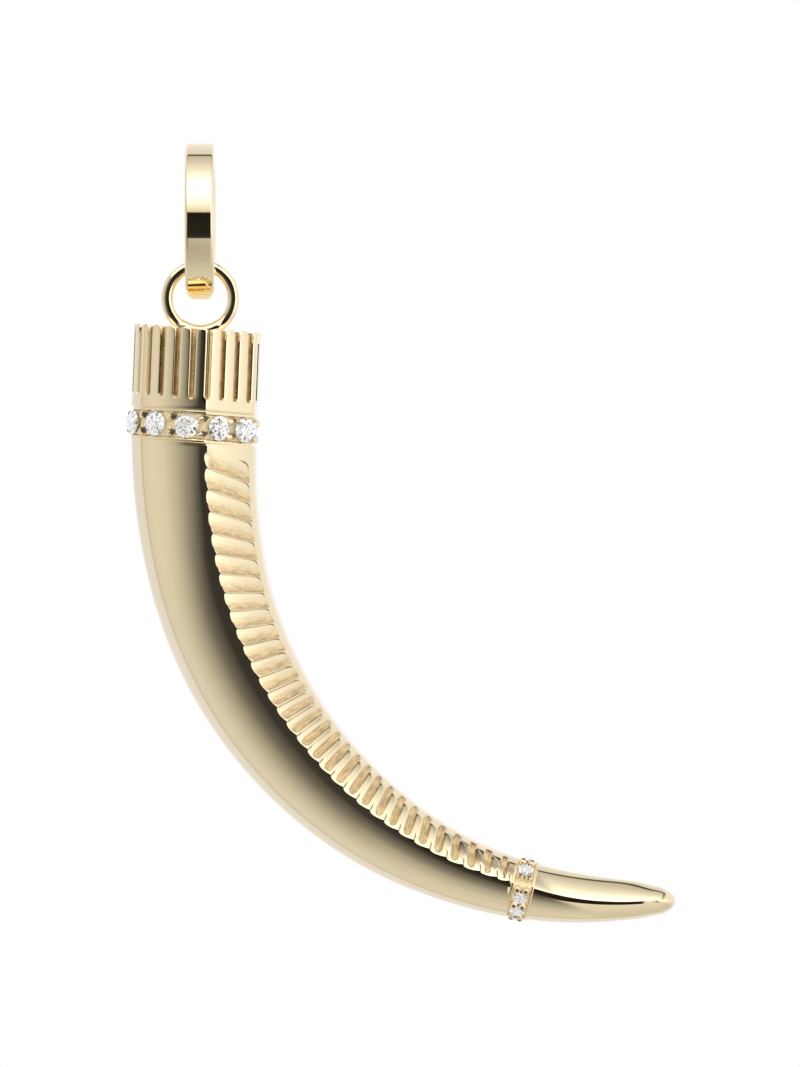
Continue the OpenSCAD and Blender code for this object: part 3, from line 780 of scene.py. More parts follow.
def hollow_at(lobe, half, slot, x, length, low):
    """Where the hollow is, how far it is sunk, and the painted shadow in it."""
    land = lobe.pitch - 2 * half
    off_wall = np.where(lobe.beside > 0, lobe.beside - half, land + half + lobe.beside)
    past = np.maximum(x - (length + ARCH_OVERRUN - ARCH_CORNER), 0)
    arch = round_corner(np.clip(ARCH_SHARE * land - off_wall, 0, None), past, ARCH_CORNER)
    hollow = low * step_up(arch, 0, ARCH_EDGE) * (1 - slot)
    sinks, wall_begins, inner_begins = (step_up(x, *(k * length for k in ends))
                                        for ends in (SINKS, WALL_BEGINS, INNER_BEGINS))
    sunk = HOLLOW_DEPTH * hollow * sinks * np.clip(1 - off_wall / land, 0, 1)
    wall = spot_of(np.clip(off_wall, 0, None), WALL_SHADOW) * wall_begins
    corner = CORNER_SHADOW * spot_of(np.hypot(x - length + CORNER_IN, off_wall - CORNER_OFF), CORNER_SIZE)
    inner = INNER_SHADOW * inner_begins * (1 - INNER_FALL * off_wall / land)
    return hollow, sunk, np.maximum(wall, np.maximum(corner, inner))


print("hollows:", HOLLOW_DEPTH, "mm deep")

# %% [markdown]
# ## All that is carved
#
# Groove, slot and hollow are put together here: one depth, one matt skin and one painted shade for each point.
# The painted shade is darkest at the groove's hook, in the hollow beside its slot, and at the slot's end.

# %% Carving
CRISP_BETWEEN, SHORT_BETWEEN = (14, 27), (4, 15)
# Painted shade: along the groove, at its hook and low tick, the most a hollow gets, at a slot's end and on
# floors
GROOVE_TONE, HOOK_TONE, TICK_TONE, HOOK_FROM = 0.3, 0.6, 0.55, (0.8, 0.35)
DARKEST, END_TONE, FLOOR_TONE = 0.95, 0.9, (0.2, 0.14)
END_SPOT, END_BACK, END_SHARE = 0.09, 0.03, 0.6
GROOVE_OPENS = (0.02, 0.2)


def carve(lobe, x, length, s):
    """Depth cut into the side, how matt it is and how much painted shade it has, at places x along the lobes.
    """
    low, short = step_up(s, *CRISP_BETWEEN), step_up(s, *SHORT_BETWEEN)
    half = lobe.half * (1 - lobe.taper * np.clip(1 - x / length, 0, 1))
    groove = groove_at(lobe, x, length, low, short)
    slot, depth, matt, slot_end = slot_at(lobe, half, x, length, low)
    hollow, sunk, shadow = hollow_at(lobe, half, slot, x, length, low)
    at_hook = step_up(x, *(length - k for k in HOOK_FROM)) * (1 - low)
    # Painted shade along the fine groove, strongest at its hook
    line = groove * (GROOVE_TONE + HOOK_TONE * at_hook + TICK_TONE * low) * (1 - slot)
    # A painted shadow at the inner end of each low slot
    slot_end_shadow = low * spot_of(x - slot_end + END_BACK, END_SPOT) * spot_of(lobe.beside, END_SHARE * half)
    # Painted shade on the matt floors of the slots
    floor = FLOOR_TONE[1] * low * matt + FLOOR_TONE[0] * (1 - low) * matt**4
    painted_shade = np.maximum.reduce([line, np.minimum(hollow * shadow, DARKEST), END_TONE * slot_end_shadow, floor])
    depth = depth + sunk + GROOVE_DEPTH * groove * (1 - slot) * step_up(x, *GROOVE_OPENS)
    return depth, matt, painted_shade


print("carving: crisp from", CRISP_BETWEEN[1], "mm down the claw")

# %% [markdown]
# ## Round the claw
#
# A row of the sheet goes round the claw in three stretches. It starts on the rounded outer side, where the
# lobes end at the crease in small scallops. It crosses the turned side, over a soft shoulder that follows
# the scallops. Then it rolls over into the smooth inner strip. The back is the same row mirrored.

# %% Outer side, with its scallops
DORSAL_TURNS = 9
NEAR_LIP = np.array([[0.6, 0.28, 0.1, 0]])
LIP, WIDEST_LIP = 0.5, 0.9
SCALLOP, SCALLOP_LOSS, SCALLOP_LEAN, SCALLOP_FULLNESS = 0.22, 0.25, 0.65, 0.75
NOTCH, NOTCH_ENDS, FIRST_NOTCH = 0.12, (16, 28), 0.4


def outer_side(lobe, s, w, c):
    from_notch = np.maximum(lobe.over - FIRST_NOTCH * lobe.first_over, 0)
    t = np.clip(from_notch / (from_notch + lobe.under), 0, 1) ** SCALLOP_LEAN
    bulge = SCALLOP * (1 - SCALLOP_LOSS * s / TIP_COLLAR_AT) * np.sin(np.pi * t) ** SCALLOP_FULLNESS
    bulge = (bulge - NOTCH * step_down(s, *NOTCH_ENDS)) * lobe.on * (lobe.over < FAR)
    slide = np.arcsin(bulge / (c * w))
    lip = np.arcsin(np.clip(LIP / (c * w), 0, WIDEST_LIP))
    angles = [lip + (math.pi / 2 - lip) * np.linspace(1, 0, DORSAL_TURNS), slide + (lip - slide) * NEAR_LIP]
    return dorsal_point(w, c, np.concatenate(angles, 1))


print("outer side:", DORSAL_TURNS + NEAR_LIP.size, "points in a row")

# %% Turned side, with its shoulder
NEAR_CREASE = np.array([0.03, 0.06, 0.1, 0.14, 0.18, 0.22, 0.26, 0.31, 0.36, 0.42, 0.5])
NEAR_EDGE = np.array([0.62, 0.52, 0.44, 0.37, 0.31, 0.26, 0.21, 0.16, 0.12, 0.08, 0.04, 0.0])
BETWEEN = 7
ROOMY_LENGTH = 1.5
SCALLOP_REACH = 0.8
SHOULDER, SHOULDER_SLOPE = 0.2, 0.06


def turned_side(w, length, start, end_of_outer):
    """Points of the side, how far along it they lie, and its tilt there."""
    squeeze = np.minimum(1, length / ROOMY_LENGTH)
    near, far = NEAR_CREASE * squeeze, length - NEAR_EDGE * squeeze
    t = np.linspace(0, 1, BETWEEN + 2)[1:-1]
    x = np.concatenate([near, near[:, -1:] + t * (far[:, :1] - near[:, -1:]), far], 1)
    share = x / length
    bow = 4 * share * (1 - share) * bow_of(w)
    tilt = SIDE_TURN - np.arctan(4 * (1 - 2 * share) * bow_of(w) / length)
    u = start[0] + x * math.cos(SIDE_TURN) + bow * math.sin(SIDE_TURN)
    y = start[1] + x * math.sin(SIDE_TURN) - bow * math.cos(SIDE_TURN)
    follow = np.clip(1 - x / (SCALLOP_REACH * squeeze), 0, 1) ** 2
    u, y = (part + follow * (end - begin) for part, begin, end in zip((u, y), start, end_of_outer))
    shoulder = SHOULDER * squeeze
    y = y - SHOULDER_SLOPE * np.where(x < shoulder, x - x * x / (2 * shoulder), shoulder / 2)
    return u, y, x, tilt


print("turned side:", len(NEAR_CREASE) + BETWEEN + len(NEAR_EDGE), "points in a row")

# %% Inner strip
STRIP_WIDTH, NARROW_FROM = 0.49, 2.5
STRIP_TURNS = np.array([[0.04, 0.08, 0.12, 0.16, 0.2, 0.24, 0.28, 0.32, 0.36, 0.4, 0.45, 0.52, 0.65, 1.0]])


def inner_strip(w, edge_u, edge_y, edge_tilt):
    """A curve that leaves the side in its own direction and ends square to the middle."""
    t = STRIP_TURNS
    corner_y = edge_y + (w / 2 - edge_u) * np.tan(edge_tilt)
    u = (1 - t) ** 2 * edge_u + (1 - (1 - t) ** 2) * w / 2
    y = (1 - t) ** 2 * edge_y + 2 * t * (1 - t) * corner_y
    step_u, step_y = 2 * (1 - t) * (w / 2 - edge_u), 2 * (1 - t) * (corner_y - edge_y) - 2 * t * corner_y
    steps = np.hypot(*(np.diff(np.concatenate(pair, 1)) for pair in ((edge_u, u), (edge_y, y))))
    return u, y, np.cumsum(steps, 1), np.arctan2(step_y, step_u)


print("inner strip:", STRIP_TURNS.size, "points in a row")

# %% The whole sheet
POINT_FULLNESS, POINT_FROM = 0.33, 45.0
# How close the streaks of the matt skin lie: across a lobe, along it, and down the claw
STREAKS = (7, 1.3, 3)


def sheet(rows):
    """Places of a whole sheet's points, row by row and round the claw, and how each point looks."""
    lobe = Lobes(rows)
    s = (lobe.crease + lobe.edge) / 2
    w, c, e = shape_at(s)
    outer = outer_side(lobe, s, w, c)
    start = dorsal_point(w, c, 0)
    strip_width = STRIP_WIDTH * np.minimum(1, (w / NARROW_FROM) ** 2)
    length = (w / 2 - strip_width - start[0]) / math.cos(SIDE_TURN)
    side = turned_side(w, length, start, [part[:, -1:] for part in outer])
    strip_u, strip_y, walk, strip_tilt = inner_strip(w, *(side[k][:, -1:] for k in (0, 1, 3)))
    strip = (strip_u, strip_y, length + walk, strip_tilt)
    u, y, x, tilt = (np.concatenate(pair, 1) for pair in zip(side, strip))
    depth, matt, painted_shade = (part * lobe.on for part in carve(lobe, x, length, s))
    u, y = u - depth * np.sin(tilt), y + depth * np.cos(tilt)
    u, y = np.concatenate([outer[0], u], 1), np.concatenate([outer[1], np.minimum(y, 0)], 1)
    # The point keeps more of its depth than of its width
    y = y * (1 + POINT_FULLNESS * np.clip((s - POINT_FROM) / (CLAW_LENGTH - POINT_FROM), 0, 1) ** 2)
    # From crease to inner edge a point glides along the claw, as far as the lobes slant
    share = np.minimum(x * math.cos(SIDE_TURN) / (inner_edge(w, c, e)[0] - start[0]), 1)
    beside, x, matt, painted_shade, share = (np.pad(part, ((0, 0), (outer[0].shape[1], 0)))
                                    for part in (lobe.beside + 0 * x, x, matt, painted_shade, share))
    s = lobe.crease + share * (lobe.edge - lobe.crease) + u * lobe.slant
    at = middle(s) + u[..., None] * across(heading(s))
    front = np.stack([at[..., 0], y, at[..., 1]], -1)
    lie = np.stack([scale * part for scale, part in zip(STREAKS, (beside, x, s))], -1)
    looks = (np.concatenate([part, part[:, -2::-1]], 1) for part in (matt, painted_shade, lie))
    return np.concatenate([front, front[:, -2::-1] * (1, -1, 1)], 1), *looks


claw_sheet = sheet(rows)
print("sheet:", claw_sheet[0].shape[0], "rows of", claw_sheet[0].shape[1], "points")

# %% [markdown]
# ## The fluted claw
#
# Now the claw itself. A flat grid with the same rows and columns is wrapped round the slices, closed at its
# seam and its ends, and shaded smooth with its sharp corners kept. The looks go with it as attributes.

# %% Fluted claw
def wrap(name, places, matt, painted_shade, lie):
    """A flat grid, with a row for each slice, that is wrapped round the claw and closed."""
    rows, columns = places.shape[:2]
    piece = start_from(bpy.ops.mesh.primitive_grid_add, name, x_subdivisions=columns - 1,
                       y_subdivisions=rows - 1, size=1)
    flat = points_of(piece) * MM
    column = np.rint((flat[:, 0] + 0.5) * (columns - 1)).astype(int)
    row = np.rint((flat[:, 1] + 0.5) * (rows - 1)).astype(int)
    # The matt skin, the painted shade and the lie of the streaks go with the points
    for look, values in (("matt", matt), ("painted_shade", painted_shade), ("lie", lie)):
        note(piece, look, values[row, column])
    place_points(piece, places[row, column])
    close_up(piece, 0.0001, fill_ends=True)
    return piece


claw = wrap("fluted_claw", *claw_sheet)
smooth(claw, 38)
claw.data.materials.append(claw_gold)
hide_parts("claw")
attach(claw, "claw")
print("claw:", len(rows), "rows,", len(claw.data.polygons), "faces")

# %% [markdown]
# ## The plain point
#
# Below the lower collar the claw is plain and polished, and ends in a blunt round point. It is the same
# sheet without carving. Its rows crowd together where it rounds off, so that the end stays smooth.

# %% Point
UNDER_COLLAR, PAST_COLLAR = 0.06, 0.1
PLAIN_ROWS, ROUND_ROWS = 23, 12
# The end is rounded in even turns, and the last row stops just short of its pole
ROUND_TURNS = np.radians(np.linspace(7, 89.5, ROUND_ROWS))
SQUARE_ROWS = 3
lean = math.tan(math.radians(TIP_COLLAR_HEADING) - float(heading(TIP_AT)))
stations = np.concatenate([[TIP_AT - UNDER_COLLAR], np.linspace(TIP_AT + PAST_COLLAR, ROUND_FROM, PLAIN_ROWS),
                           ROUND_FROM + (CLAW_LENGTH - ROUND_FROM) * np.sin(ROUND_TURNS)])
tip_rows = [row(s, s, lean * max(0, 1 - k / SQUARE_ROWS)) for k, s in enumerate(stations)]
point = wrap("claw_point", *sheet(np.array(tip_rows, float)))
smooth(point, 50)
point.data.materials.append(plain_gold)
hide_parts("tip")
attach(point, "claw")
print("point:", len(point.data.polygons), "faces")

# %% [markdown]
# ## The outline of a slice, walked round
#
# The cap and both collars share one outline, from the middle of the inner strip, over the front, to the
# middle of the outer side. Flutes, beads and stones sit at shares of its length, as a goldsmith would step
# them off with dividers.

# %% Walking an outline
SIDE_BOW = 0.008
STRIP_STEPS, SIDE_STEPS, DORSAL_STEPS = 9, 17, 160
STRIDE = 0.02


def outline(w, c, e):
    """Front half of an outline: its points, and their lengths from the start."""
    t = np.linspace(0, 1, STRIP_STEPS)
    u1, y1 = inner_edge(w, c, e)
    u0, y0 = dorsal_point(w, c, 0)
    strip = np.stack([w / 2 - e * t**2, y1 * t], -1)
    v = np.linspace(1, 0, SIDE_STEPS)[1:-1]
    bow = 4 * v * (1 - v) * SIDE_BOW * w
    side = np.stack([u0 + v * (u1 - u0) + bow * math.sin(SIDE_TURN),
                     y0 + v * (y1 - y0) - bow * math.cos(SIDE_TURN)], -1)
    dorsal = np.stack(dorsal_point(w, c, np.linspace(0, math.pi / 2, DORSAL_STEPS)), -1)
    points = np.concatenate([strip, side, dorsal])
    return points, np.concatenate([[0], np.cumsum(np.hypot(*np.diff(points, axis=0).T))])


def spot(path, share):
    """Point and outward direction at a signed share of the half outline, negative on the back."""
    points, lengths = path
    share = (np.asarray(share, float) + 1) % 2 - 1
    at = np.abs(share) * lengths[-1]

    def place_at(length):
        return (np.interp(length, lengths, points[:, k]) for k in (0, 1))

    u, y = place_at(at)
    du, dy = (after - before for after, before in zip(place_at(np.clip(at + STRIDE, 0, lengths[-1])),
                                                      place_at(np.clip(at - STRIDE, 0, lengths[-1]))))
    # On the line of symmetry the outline runs straight across it
    du = np.where((at < STRIDE) | (at > lengths[-1] - STRIDE), 0, du)
    norm = np.hypot(du, dy)
    side = np.where(share < 0, -1, 1)
    return u, side * y, -dy / norm, side * du / norm


def in_frame(origin, degrees, u, y, z):
    """Points u across, y deep and z along a frame that starts at x, z and runs along a heading."""
    h = math.radians(degrees)
    flat = np.array(origin) + np.asarray(z)[..., None] * along(h) + np.asarray(u)[..., None] * across(h)
    return np.stack([flat[..., 0], np.broadcast_to(y, flat.shape[:-1]), flat[..., 1]], -1)


print("outline of the widest slice:", round(2 * outline(*SLICES[0, 1:])[1][-1], 2), "mm round")

# %% [markdown]
# ## The fluted cap
#
# The cap is a short sleeve with narrow flutes all round it. They are open at the rim and end round above a
# plain band. Their floors are rough and brown-orange, because light reaches them only by bouncing between
# the gold walls. Cut with booleans they would need a cutter each. Here the sleeve is wrapped like the claw,
# with columns that follow the flutes, and the sheet itself sinks where a flute is.

# %% Cap: columns and rows
RIM_MID = (-0.15, -10.74)
CAP_HEADING = 92.3
CAP_LENGTH = 5.3
CAP_BAND = 0.75
CAP_SLICE = (8.2, 0.6, 0.27)
CAP_FLUTES = 23
FLUTE_WIDTH = 0.33
cap_path = outline(*CAP_SLICE)
turn = 2 * cap_path[1][-1]
flute_pitch = turn / CAP_FLUTES
half_flute = FLUTE_WIDTH / 2
# From the middle of a land, over the flute's wall, to the middle of its floor, and on as in a mirror
from_middle = np.concatenate([np.array([-0.5, -0.36, -0.27]) * flute_pitch,
                              np.array([-0.05, -0.015, 0.02, 0.055]) - half_flute, [-0.08, 0]])
from_middle = np.concatenate([from_middle, -from_middle[:0:-1]])
columns = (np.arange(CAP_FLUTES)[:, None] * flute_pitch + from_middle).ravel()
# Rows lie close at the rim, where the flutes end round above the band, and at the foot
foot = CAP_LENGTH - CAP_BAND - half_flute
heights = np.concatenate([[0, 0, 0, 0.02, 0.05, 0.09, 0.14, 0.3], np.linspace(0.8, foot - 0.3, 8),
                          foot + np.array([-0.15, -0.06, 0, 0.05, 0.09, 0.13, 0.17, 0.21, 0.25, 0.35]),
                          CAP_LENGTH + np.array([-0.3, -0.05, 0.02])])
print("cap:", len(heights), "rows of", len(columns), "points,", round(turn, 2), "mm round")

# %% Cap: how far it is sunk
CAP_DEPTH = 0.26
CAP_WALL, CAP_SKIN = (-0.06, 0.03), (-0.07, -0.02)
LAND_BULGE, BULGE_ENDS = 0.022, (-0.1, 0.45)
# The lands' upper corners: where they begin, how fast they widen, how deep and how round they are
CORNER_TOP, CORNER_REACH, CORNER_FROM, CORNER_SLANT = 0.16, 0.3, 0.45, 0.3
CORNER_DEPTH, CORNER_ROUND, FOOT_SINK, FOOT_ROUND = 0.1, 0.2, 0.03, 0.06
LEDGE, FLAT_TOP = 0.04, 0.84
rim_u, rim_y, nu, ny = spot(cap_path, 2 * columns / turn)
beside = (columns + flute_pitch / 2) % flute_pitch - flute_pitch / 2
z = heights[:, None] + 0 * columns
gap = np.hypot(np.maximum(z - foot, 0), beside) - half_flute
# The lands are slightly rounded, and the rim and the foot have a soft edge
from_land = np.clip((flute_pitch / 2 - np.abs(beside)) / (flute_pitch / 2 - half_flute), 0, 1)
sunk = (CAP_DEPTH * step_down(gap, *CAP_WALL)
        + LAND_BULGE * from_land**2 * step_down(z, *(foot + k for k in BULGE_ENDS)))
corner = np.hypot(np.clip(CORNER_TOP - z, 0, None), np.clip(from_land - CORNER_FROM, 0, None) * CORNER_SLANT)
sunk = sunk + CORNER_DEPTH * round_groove(CORNER_ROUND - corner, CORNER_ROUND) * (z < CORNER_REACH)
sunk = sunk + FOOT_SINK * round_groove(CAP_LENGTH - z, FOOT_ROUND)
sunk[1] += LEDGE
u, y = rim_u - nu * sunk, rim_y - ny * sunk
# The first row is a smaller outline: the flat top, which has a polished ledge round it
u[0], y[0] = FLAT_TOP * rim_u, FLAT_TOP * rim_y
print("flutes:", round(float(sunk[10].max()), 2), "mm deep")

# %% Cap
RIM_LEAN = math.tan(math.radians(4.4 - 2.3))
RIM_ARCH, ARCH_HEIGHT = 0.1, 0.4
# How dark the painted shadow inside a flute's edge is, how far inside it lies, and how wide
EDGE_TONE, EDGE_INSIDE, EDGE_WIDTH = 0.45, 0.045, 0.03
CAP_STREAKS = (9, 1.2)
# At the rim each land ends in a low arch
arched = z + RIM_ARCH * from_land**2 * np.clip(1 - z / ARCH_HEIGHT, 0, 1)
arched[0] = RIM_ARCH
cap_points = in_frame(RIM_MID, CAP_HEADING, u, y, arched + u * RIM_LEAN)
matt = step_down(gap, *CAP_SKIN)
# A painted shadow just inside the edge of each flute
painted_shade = EDGE_TONE * spot_of(gap + EDGE_INSIDE, EDGE_WIDTH)
matt[:2], painted_shade[:2] = 0, 0
lie = np.stack([CAP_STREAKS[0] * columns + 0 * z, CAP_STREAKS[1] * z, 0 * z], -1)
cap = wrap("fluted_cap", *(np.concatenate([part, part[:, :1]], 1) for part in (cap_points, matt, painted_shade, lie)))
smooth(cap, 35)
cap.data.materials.append(cap_gold)
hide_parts("cap")
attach(cap, "claw")
print("cap:", len(cap.data.polygons), "faces,", CAP_FLUTES, "flutes")

# %% [markdown]
# ## The hanging ring
#
# A ring of round wire is soldered upright into the cap's rim. Blender's torus would do for a plain ring. Here
# a wire circle is spun round the ring's middle, because the wire is flattened a little, and where it enters
# the cap it swells into the fillets that solder leaves.

# %% Ring
RING_Z, RING_R = -8.805, 2.14
WIRE_R, WIRE_SQUARE = 0.375, 2.9
WIRE_POINTS, RING_STEPS = 36, 120
SOLDER_AT, SOLDER_REACH, SOLDER_SWELL = -10.62, 0.35, 0.18
ring = start_from(bpy.ops.mesh.primitive_circle_add, "hanging_ring", vertices=WIRE_POINTS,
                  radius=WIRE_R * MM, location=(RING_R * MM, 0, RING_Z * MM))
edit_all(ring)
bpy.ops.mesh.spin(steps=RING_STEPS, angle=2 * math.pi, center=(0, 0, RING_Z * MM), axis=(0, 1, 0))
done()
close_up(ring)
points = points_of(ring)
centre = np.array([0, 0, RING_Z])
radial = points - centre
radial[:, 1] = 0
reach = np.linalg.norm(radial, axis=1)
on_wire = centre + RING_R * radial / reach[:, None]
swell = SOLDER_SWELL * np.clip(1 - (on_wire[:, 2] - SOLDER_AT) / SOLDER_REACH, 0, 1) ** 2
# The wire is flattened a little at the front, the back and the sides
offset = points - on_wire
outward = np.abs(np.sum(offset * radial, 1) / reach) / WIRE_R
sideways = np.abs(offset[:, 1]) / WIRE_R
square = (outward**WIRE_SQUARE + sideways**WIRE_SQUARE) ** (-1 / WIRE_SQUARE)
place_points(ring, on_wire + offset * (square * (1 + swell))[:, None])
smooth(ring, 60)
ring.data.materials.append(plain_gold)
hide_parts("cap")
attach(ring, "claw")
print("ring:", len(ring.data.polygons), "faces")

# %% [markdown]
# ## The bail
#
# The bail is one closed oval band. Its outside and its hole are two ovals, with a thicker foot that the ring
# wears on. The ovals are drawn as two rings of points and bridged into a flat plate, which is extruded
# to the band's width and given soft edges by a bevel. Its outside narrows a little from left to right, as a
# casting's does. A bent bar has one thickness all round, and this foot is thicker, so a plate is the better
# start.

# %% Bail: the flat plate
BAIL_HEIGHT, BAIL_DEPTH, BAIL_WIDTH = 10.1, 7.8, 1.86
BAIL_THICK, BAIL_FOOT = 1.2, 1.65
BAIL_POINTS = 160


def oval(height, depth, top, count):
    """Points of an oval of four arcs in the y-z plane, whose top is at a given height."""
    shift = (height - depth) / 2 / (2 - math.sqrt(2))
    angles = 2 * math.pi * np.arange(count) / count
    around = np.stack([np.cos(angles), np.sin(angles)], -1)
    on_side = np.abs(around[:, 0]) >= np.abs(around[:, 1]) - 1e-9
    side = np.sign(around)
    middle_y = np.where(on_side, -side[:, 0] * shift, 0)
    middle_z = np.where(on_side, 0, side[:, 1] * shift)
    radius = np.where(on_side, depth / 2 + shift, height / 2 - shift)
    return np.stack([middle_y + radius * around[:, 0],
                     top - height / 2 + middle_z + radius * around[:, 1]], -1)


outside = oval(BAIL_HEIGHT, BAIL_DEPTH, BAIL_THICK, BAIL_POINTS)
hole = oval(BAIL_HEIGHT - BAIL_THICK - BAIL_FOOT, BAIL_DEPTH - 2 * BAIL_THICK, 0, BAIL_POINTS)
bail = start_from(bpy.ops.mesh.primitive_circle_add, "oval_bail", vertices=BAIL_POINTS, radius=MM)
edit_all(bail)
bpy.ops.mesh.duplicate_move()
done()
left = np.full(BAIL_POINTS, -BAIL_WIDTH / 2)
place_points(bail, np.concatenate([np.column_stack([left, loop]) for loop in (outside, hole)]))
edit_all(bail)
bpy.ops.mesh.bridge_edge_loops()
bpy.ops.mesh.select_all(action="SELECT")
bpy.ops.mesh.extrude_region_move(TRANSFORM_OT_translate={"value": (BAIL_WIDTH * MM, 0, 0)})
bpy.ops.mesh.select_all(action="SELECT")
bpy.ops.mesh.normals_make_consistent(inside=False)
done()
print("bail's band:", len(bail.data.polygons), "faces")

# %% Bail: narrowed foot, taper and soft edges
BAIL_TAPER = 0.12
FOOT_NARROWING, FOOT_CORNER, FOOT_ROUNDNESS = 0.42, 0.75, 0.98
BEVEL, BEVEL_STEPS, BEVEL_FROM = 0.2, 5, 60
points = points_of(bail)
low_down = np.clip(1 - (points[:, 2] - BAIL_THICK + BAIL_HEIGHT) / FOOT_CORNER, 0, 1)
points[:, 0] -= np.sign(points[:, 0]) * FOOT_NARROWING * (1 - np.sqrt(1 - FOOT_ROUNDNESS * low_down**2))
# What lies outside the band's middle line is its outer face
bail_middle = np.array([0, 0, BAIL_THICK - BAIL_HEIGHT / 2])
from_bail_middle = (points - bail_middle) / (1, (BAIL_DEPTH - BAIL_THICK) / 2, (BAIL_HEIGHT - BAIL_THICK) / 2)
tapered = (np.hypot(from_bail_middle[:, 1], from_bail_middle[:, 2]) > 1) & (points[:, 0] > 0)
points[:, 1] *= np.where(tapered, 1 - 2 * BAIL_TAPER / BAIL_DEPTH, 1)
place_points(bail, points)
smooth(bail, 40)
bevel = bail.modifiers.new("soft_edges", "BEVEL")
bevel.width, bevel.segments, bevel.harden_normals = BEVEL * MM, BEVEL_STEPS, True
bevel.limit_method, bevel.angle_limit = "ANGLE", math.radians(BEVEL_FROM)
bpy.ops.object.modifier_apply(modifier=bevel.name)
bail.data.materials.append(plain_gold)
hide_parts("bail")
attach(bail, "bail")
print("bail:", len(bail.data.polygons), "faces")

# %% [markdown]
# ## Cut stones
#
# The stones are round brilliants. A cutter grinds flat facets on a turned blank, and so do the cuts here: a
# short cylinder is bisected by one plane for each facet, and each cut is closed with a flat face. The
# kites of the crown, the stars beside the table and the long facets of the pavilion come first, then the
# small facets above and below the girdle. One stone is cut, and a copy with its own mesh goes into each seat.

# %% The stone and its cuts
# All in shares of the stone's diameter. A facet has a slope in degrees and a distance from the axis
TABLE, GIRDLE = 0.155, 0.02
KITE, STAR, PAVILION = (34.5, 0.5), (20, 0.29), (41, 0.5)
UPPER_GIRDLE, LOWER_GIRDLE = (41.5, 0.494), (42.2, 0.494)
BLANK_SIDES = 64


def cut(azimuth, facet, level):
    """One facet: a plane that slopes outwards from a point at a distance from the axis."""
    slope, reach = facet
    a, t = math.radians(azimuth), math.radians(slope)
    upright = math.copysign(math.cos(t), level)
    normal = (math.sin(t) * math.cos(a), math.sin(t) * math.sin(a), upright)
    bpy.ops.mesh.select_all(action="SELECT")
    bpy.ops.mesh.bisect(plane_co=(reach * math.cos(a), reach * math.sin(a), level), plane_no=normal,
                        use_fill=True, clear_outer=True)


def cut_brilliant(name):
    """A brilliant of unit diameter, with its girdle round the origin and its table upwards."""
    stone = start_from(bpy.ops.mesh.primitive_cylinder_add, name, vertices=BLANK_SIDES, radius=0.5,
                       depth=1)
    edit_all(stone)
    bpy.ops.mesh.bisect(plane_co=(0, 0, TABLE), plane_no=(0, 0, 1), use_fill=True, clear_outer=True)
    for k in range(8):
        cut(45 * k, KITE, GIRDLE)
        cut(45 * k + 22.5, STAR, TABLE)
        cut(45 * k, PAVILION, -GIRDLE)
    for k in range(16):
        cut(22.5 * k + 11.25, UPPER_GIRDLE, GIRDLE)
        cut(22.5 * k + 11.25, LOWER_GIRDLE, -GIRDLE)
    done()
    close_up(stone, 0.2)
    return stone


brilliant = cut_brilliant("brilliant")
spread = np.ptp([vertex.co.z for vertex in brilliant.data.vertices])
print("stone:", len(brilliant.data.polygons), "facets, depth", round(float(spread), 3))

# %% [markdown]
# ## The stones' finish
#
# A cut stone shows the eye a mosaic, because each facet is seen split up by those behind it. Rays traced
# through so small a stone would come out as noise. So the mosaic is painted: twenty-four wedges and six
# rings, each with its own tilt and its own painted light or dark for what the facets reflect. The attribute
# facet holds a point's place across the stone, and a number that is the stone's own. A few tiny inclusions
# make it hazy in places, as in every stone.

# %% Diamond
STONE_TILT = 1.0
RINGS, WEDGES = 6, 24
SHADES = [(0, 0.02), (0.1, 0.2), (0.2, 0.55), (0.42, 0.92)]
SHADE_TINT = (1, 0.98, 0.96)
CLOUD_SCALE, CLOUD_FROM, HAZE = 2500, 0.6, 0.02
DIAMOND_LOOK = {"IOR": 2.42, "Transmission Weight": 0.5, "Metallic": 0.15, "Specular Tint": (1, 0.98, 0.9, 1)}
diamond = bpy.data.materials.new("diamond")
diamond.use_nodes = True
tree = diamond.node_tree
clear = tree.nodes["Principled BSDF"].inputs
for name, value in DIAMOND_LOOK.items():
    clear[name].default_value = value
cloud = noise(tree, add_node(tree, "ShaderNodeTexCoord").outputs["Object"], CLOUD_SCALE)
feed(tree, clear["Roughness"], map_range(tree, cloud, source=(CLOUD_FROM, 1), target=(0, HAZE)))
facet = attribute(tree, "facet", "Vector")
parts = add_node(tree, "ShaderNodeSeparateXYZ")
feed(tree, parts.inputs[0], facet)
from_axis = vector_node(tree, "LENGTH", vector_node(tree, "MULTIPLY", facet, (1, 1, 0)))
ring_number = math_node(tree, "FLOOR", math_node(tree, "MULTIPLY", from_axis, 2.0 * RINGS))
angle = math_node(tree, "ARCTAN2", parts.outputs["Y"], parts.outputs["X"])
# Every other ring is turned by half a wedge
wedge = math_node(tree, "ADD", math_node(tree, "MULTIPLY", angle, WEDGES / (2 * math.pi)),
                  math_node(tree, "MULTIPLY", ring_number, 0.5))
cell = add_node(tree, "ShaderNodeCombineXYZ")
for socket, source in zip(cell.inputs, (math_node(tree, "FLOOR", wedge), ring_number, parts.outputs["Z"])):
    feed(tree, socket, source)
chance = add_node(tree, "ShaderNodeTexWhiteNoise")
feed(tree, chance.inputs["Vector"], cell.outputs[0])
tilts = ((STONE_TILT,) * 3, (-STONE_TILT / 2,) * 3)
tilt_by = vector_node(tree, "MULTIPLY_ADD", chance.outputs["Color"], *tilts)
normal = add_node(tree, "ShaderNodeNewGeometry").outputs["Normal"]
feed(tree, clear["Normal"], vector_node(tree, "NORMALIZE", vector_node(tree, "ADD", normal, tilt_by)))
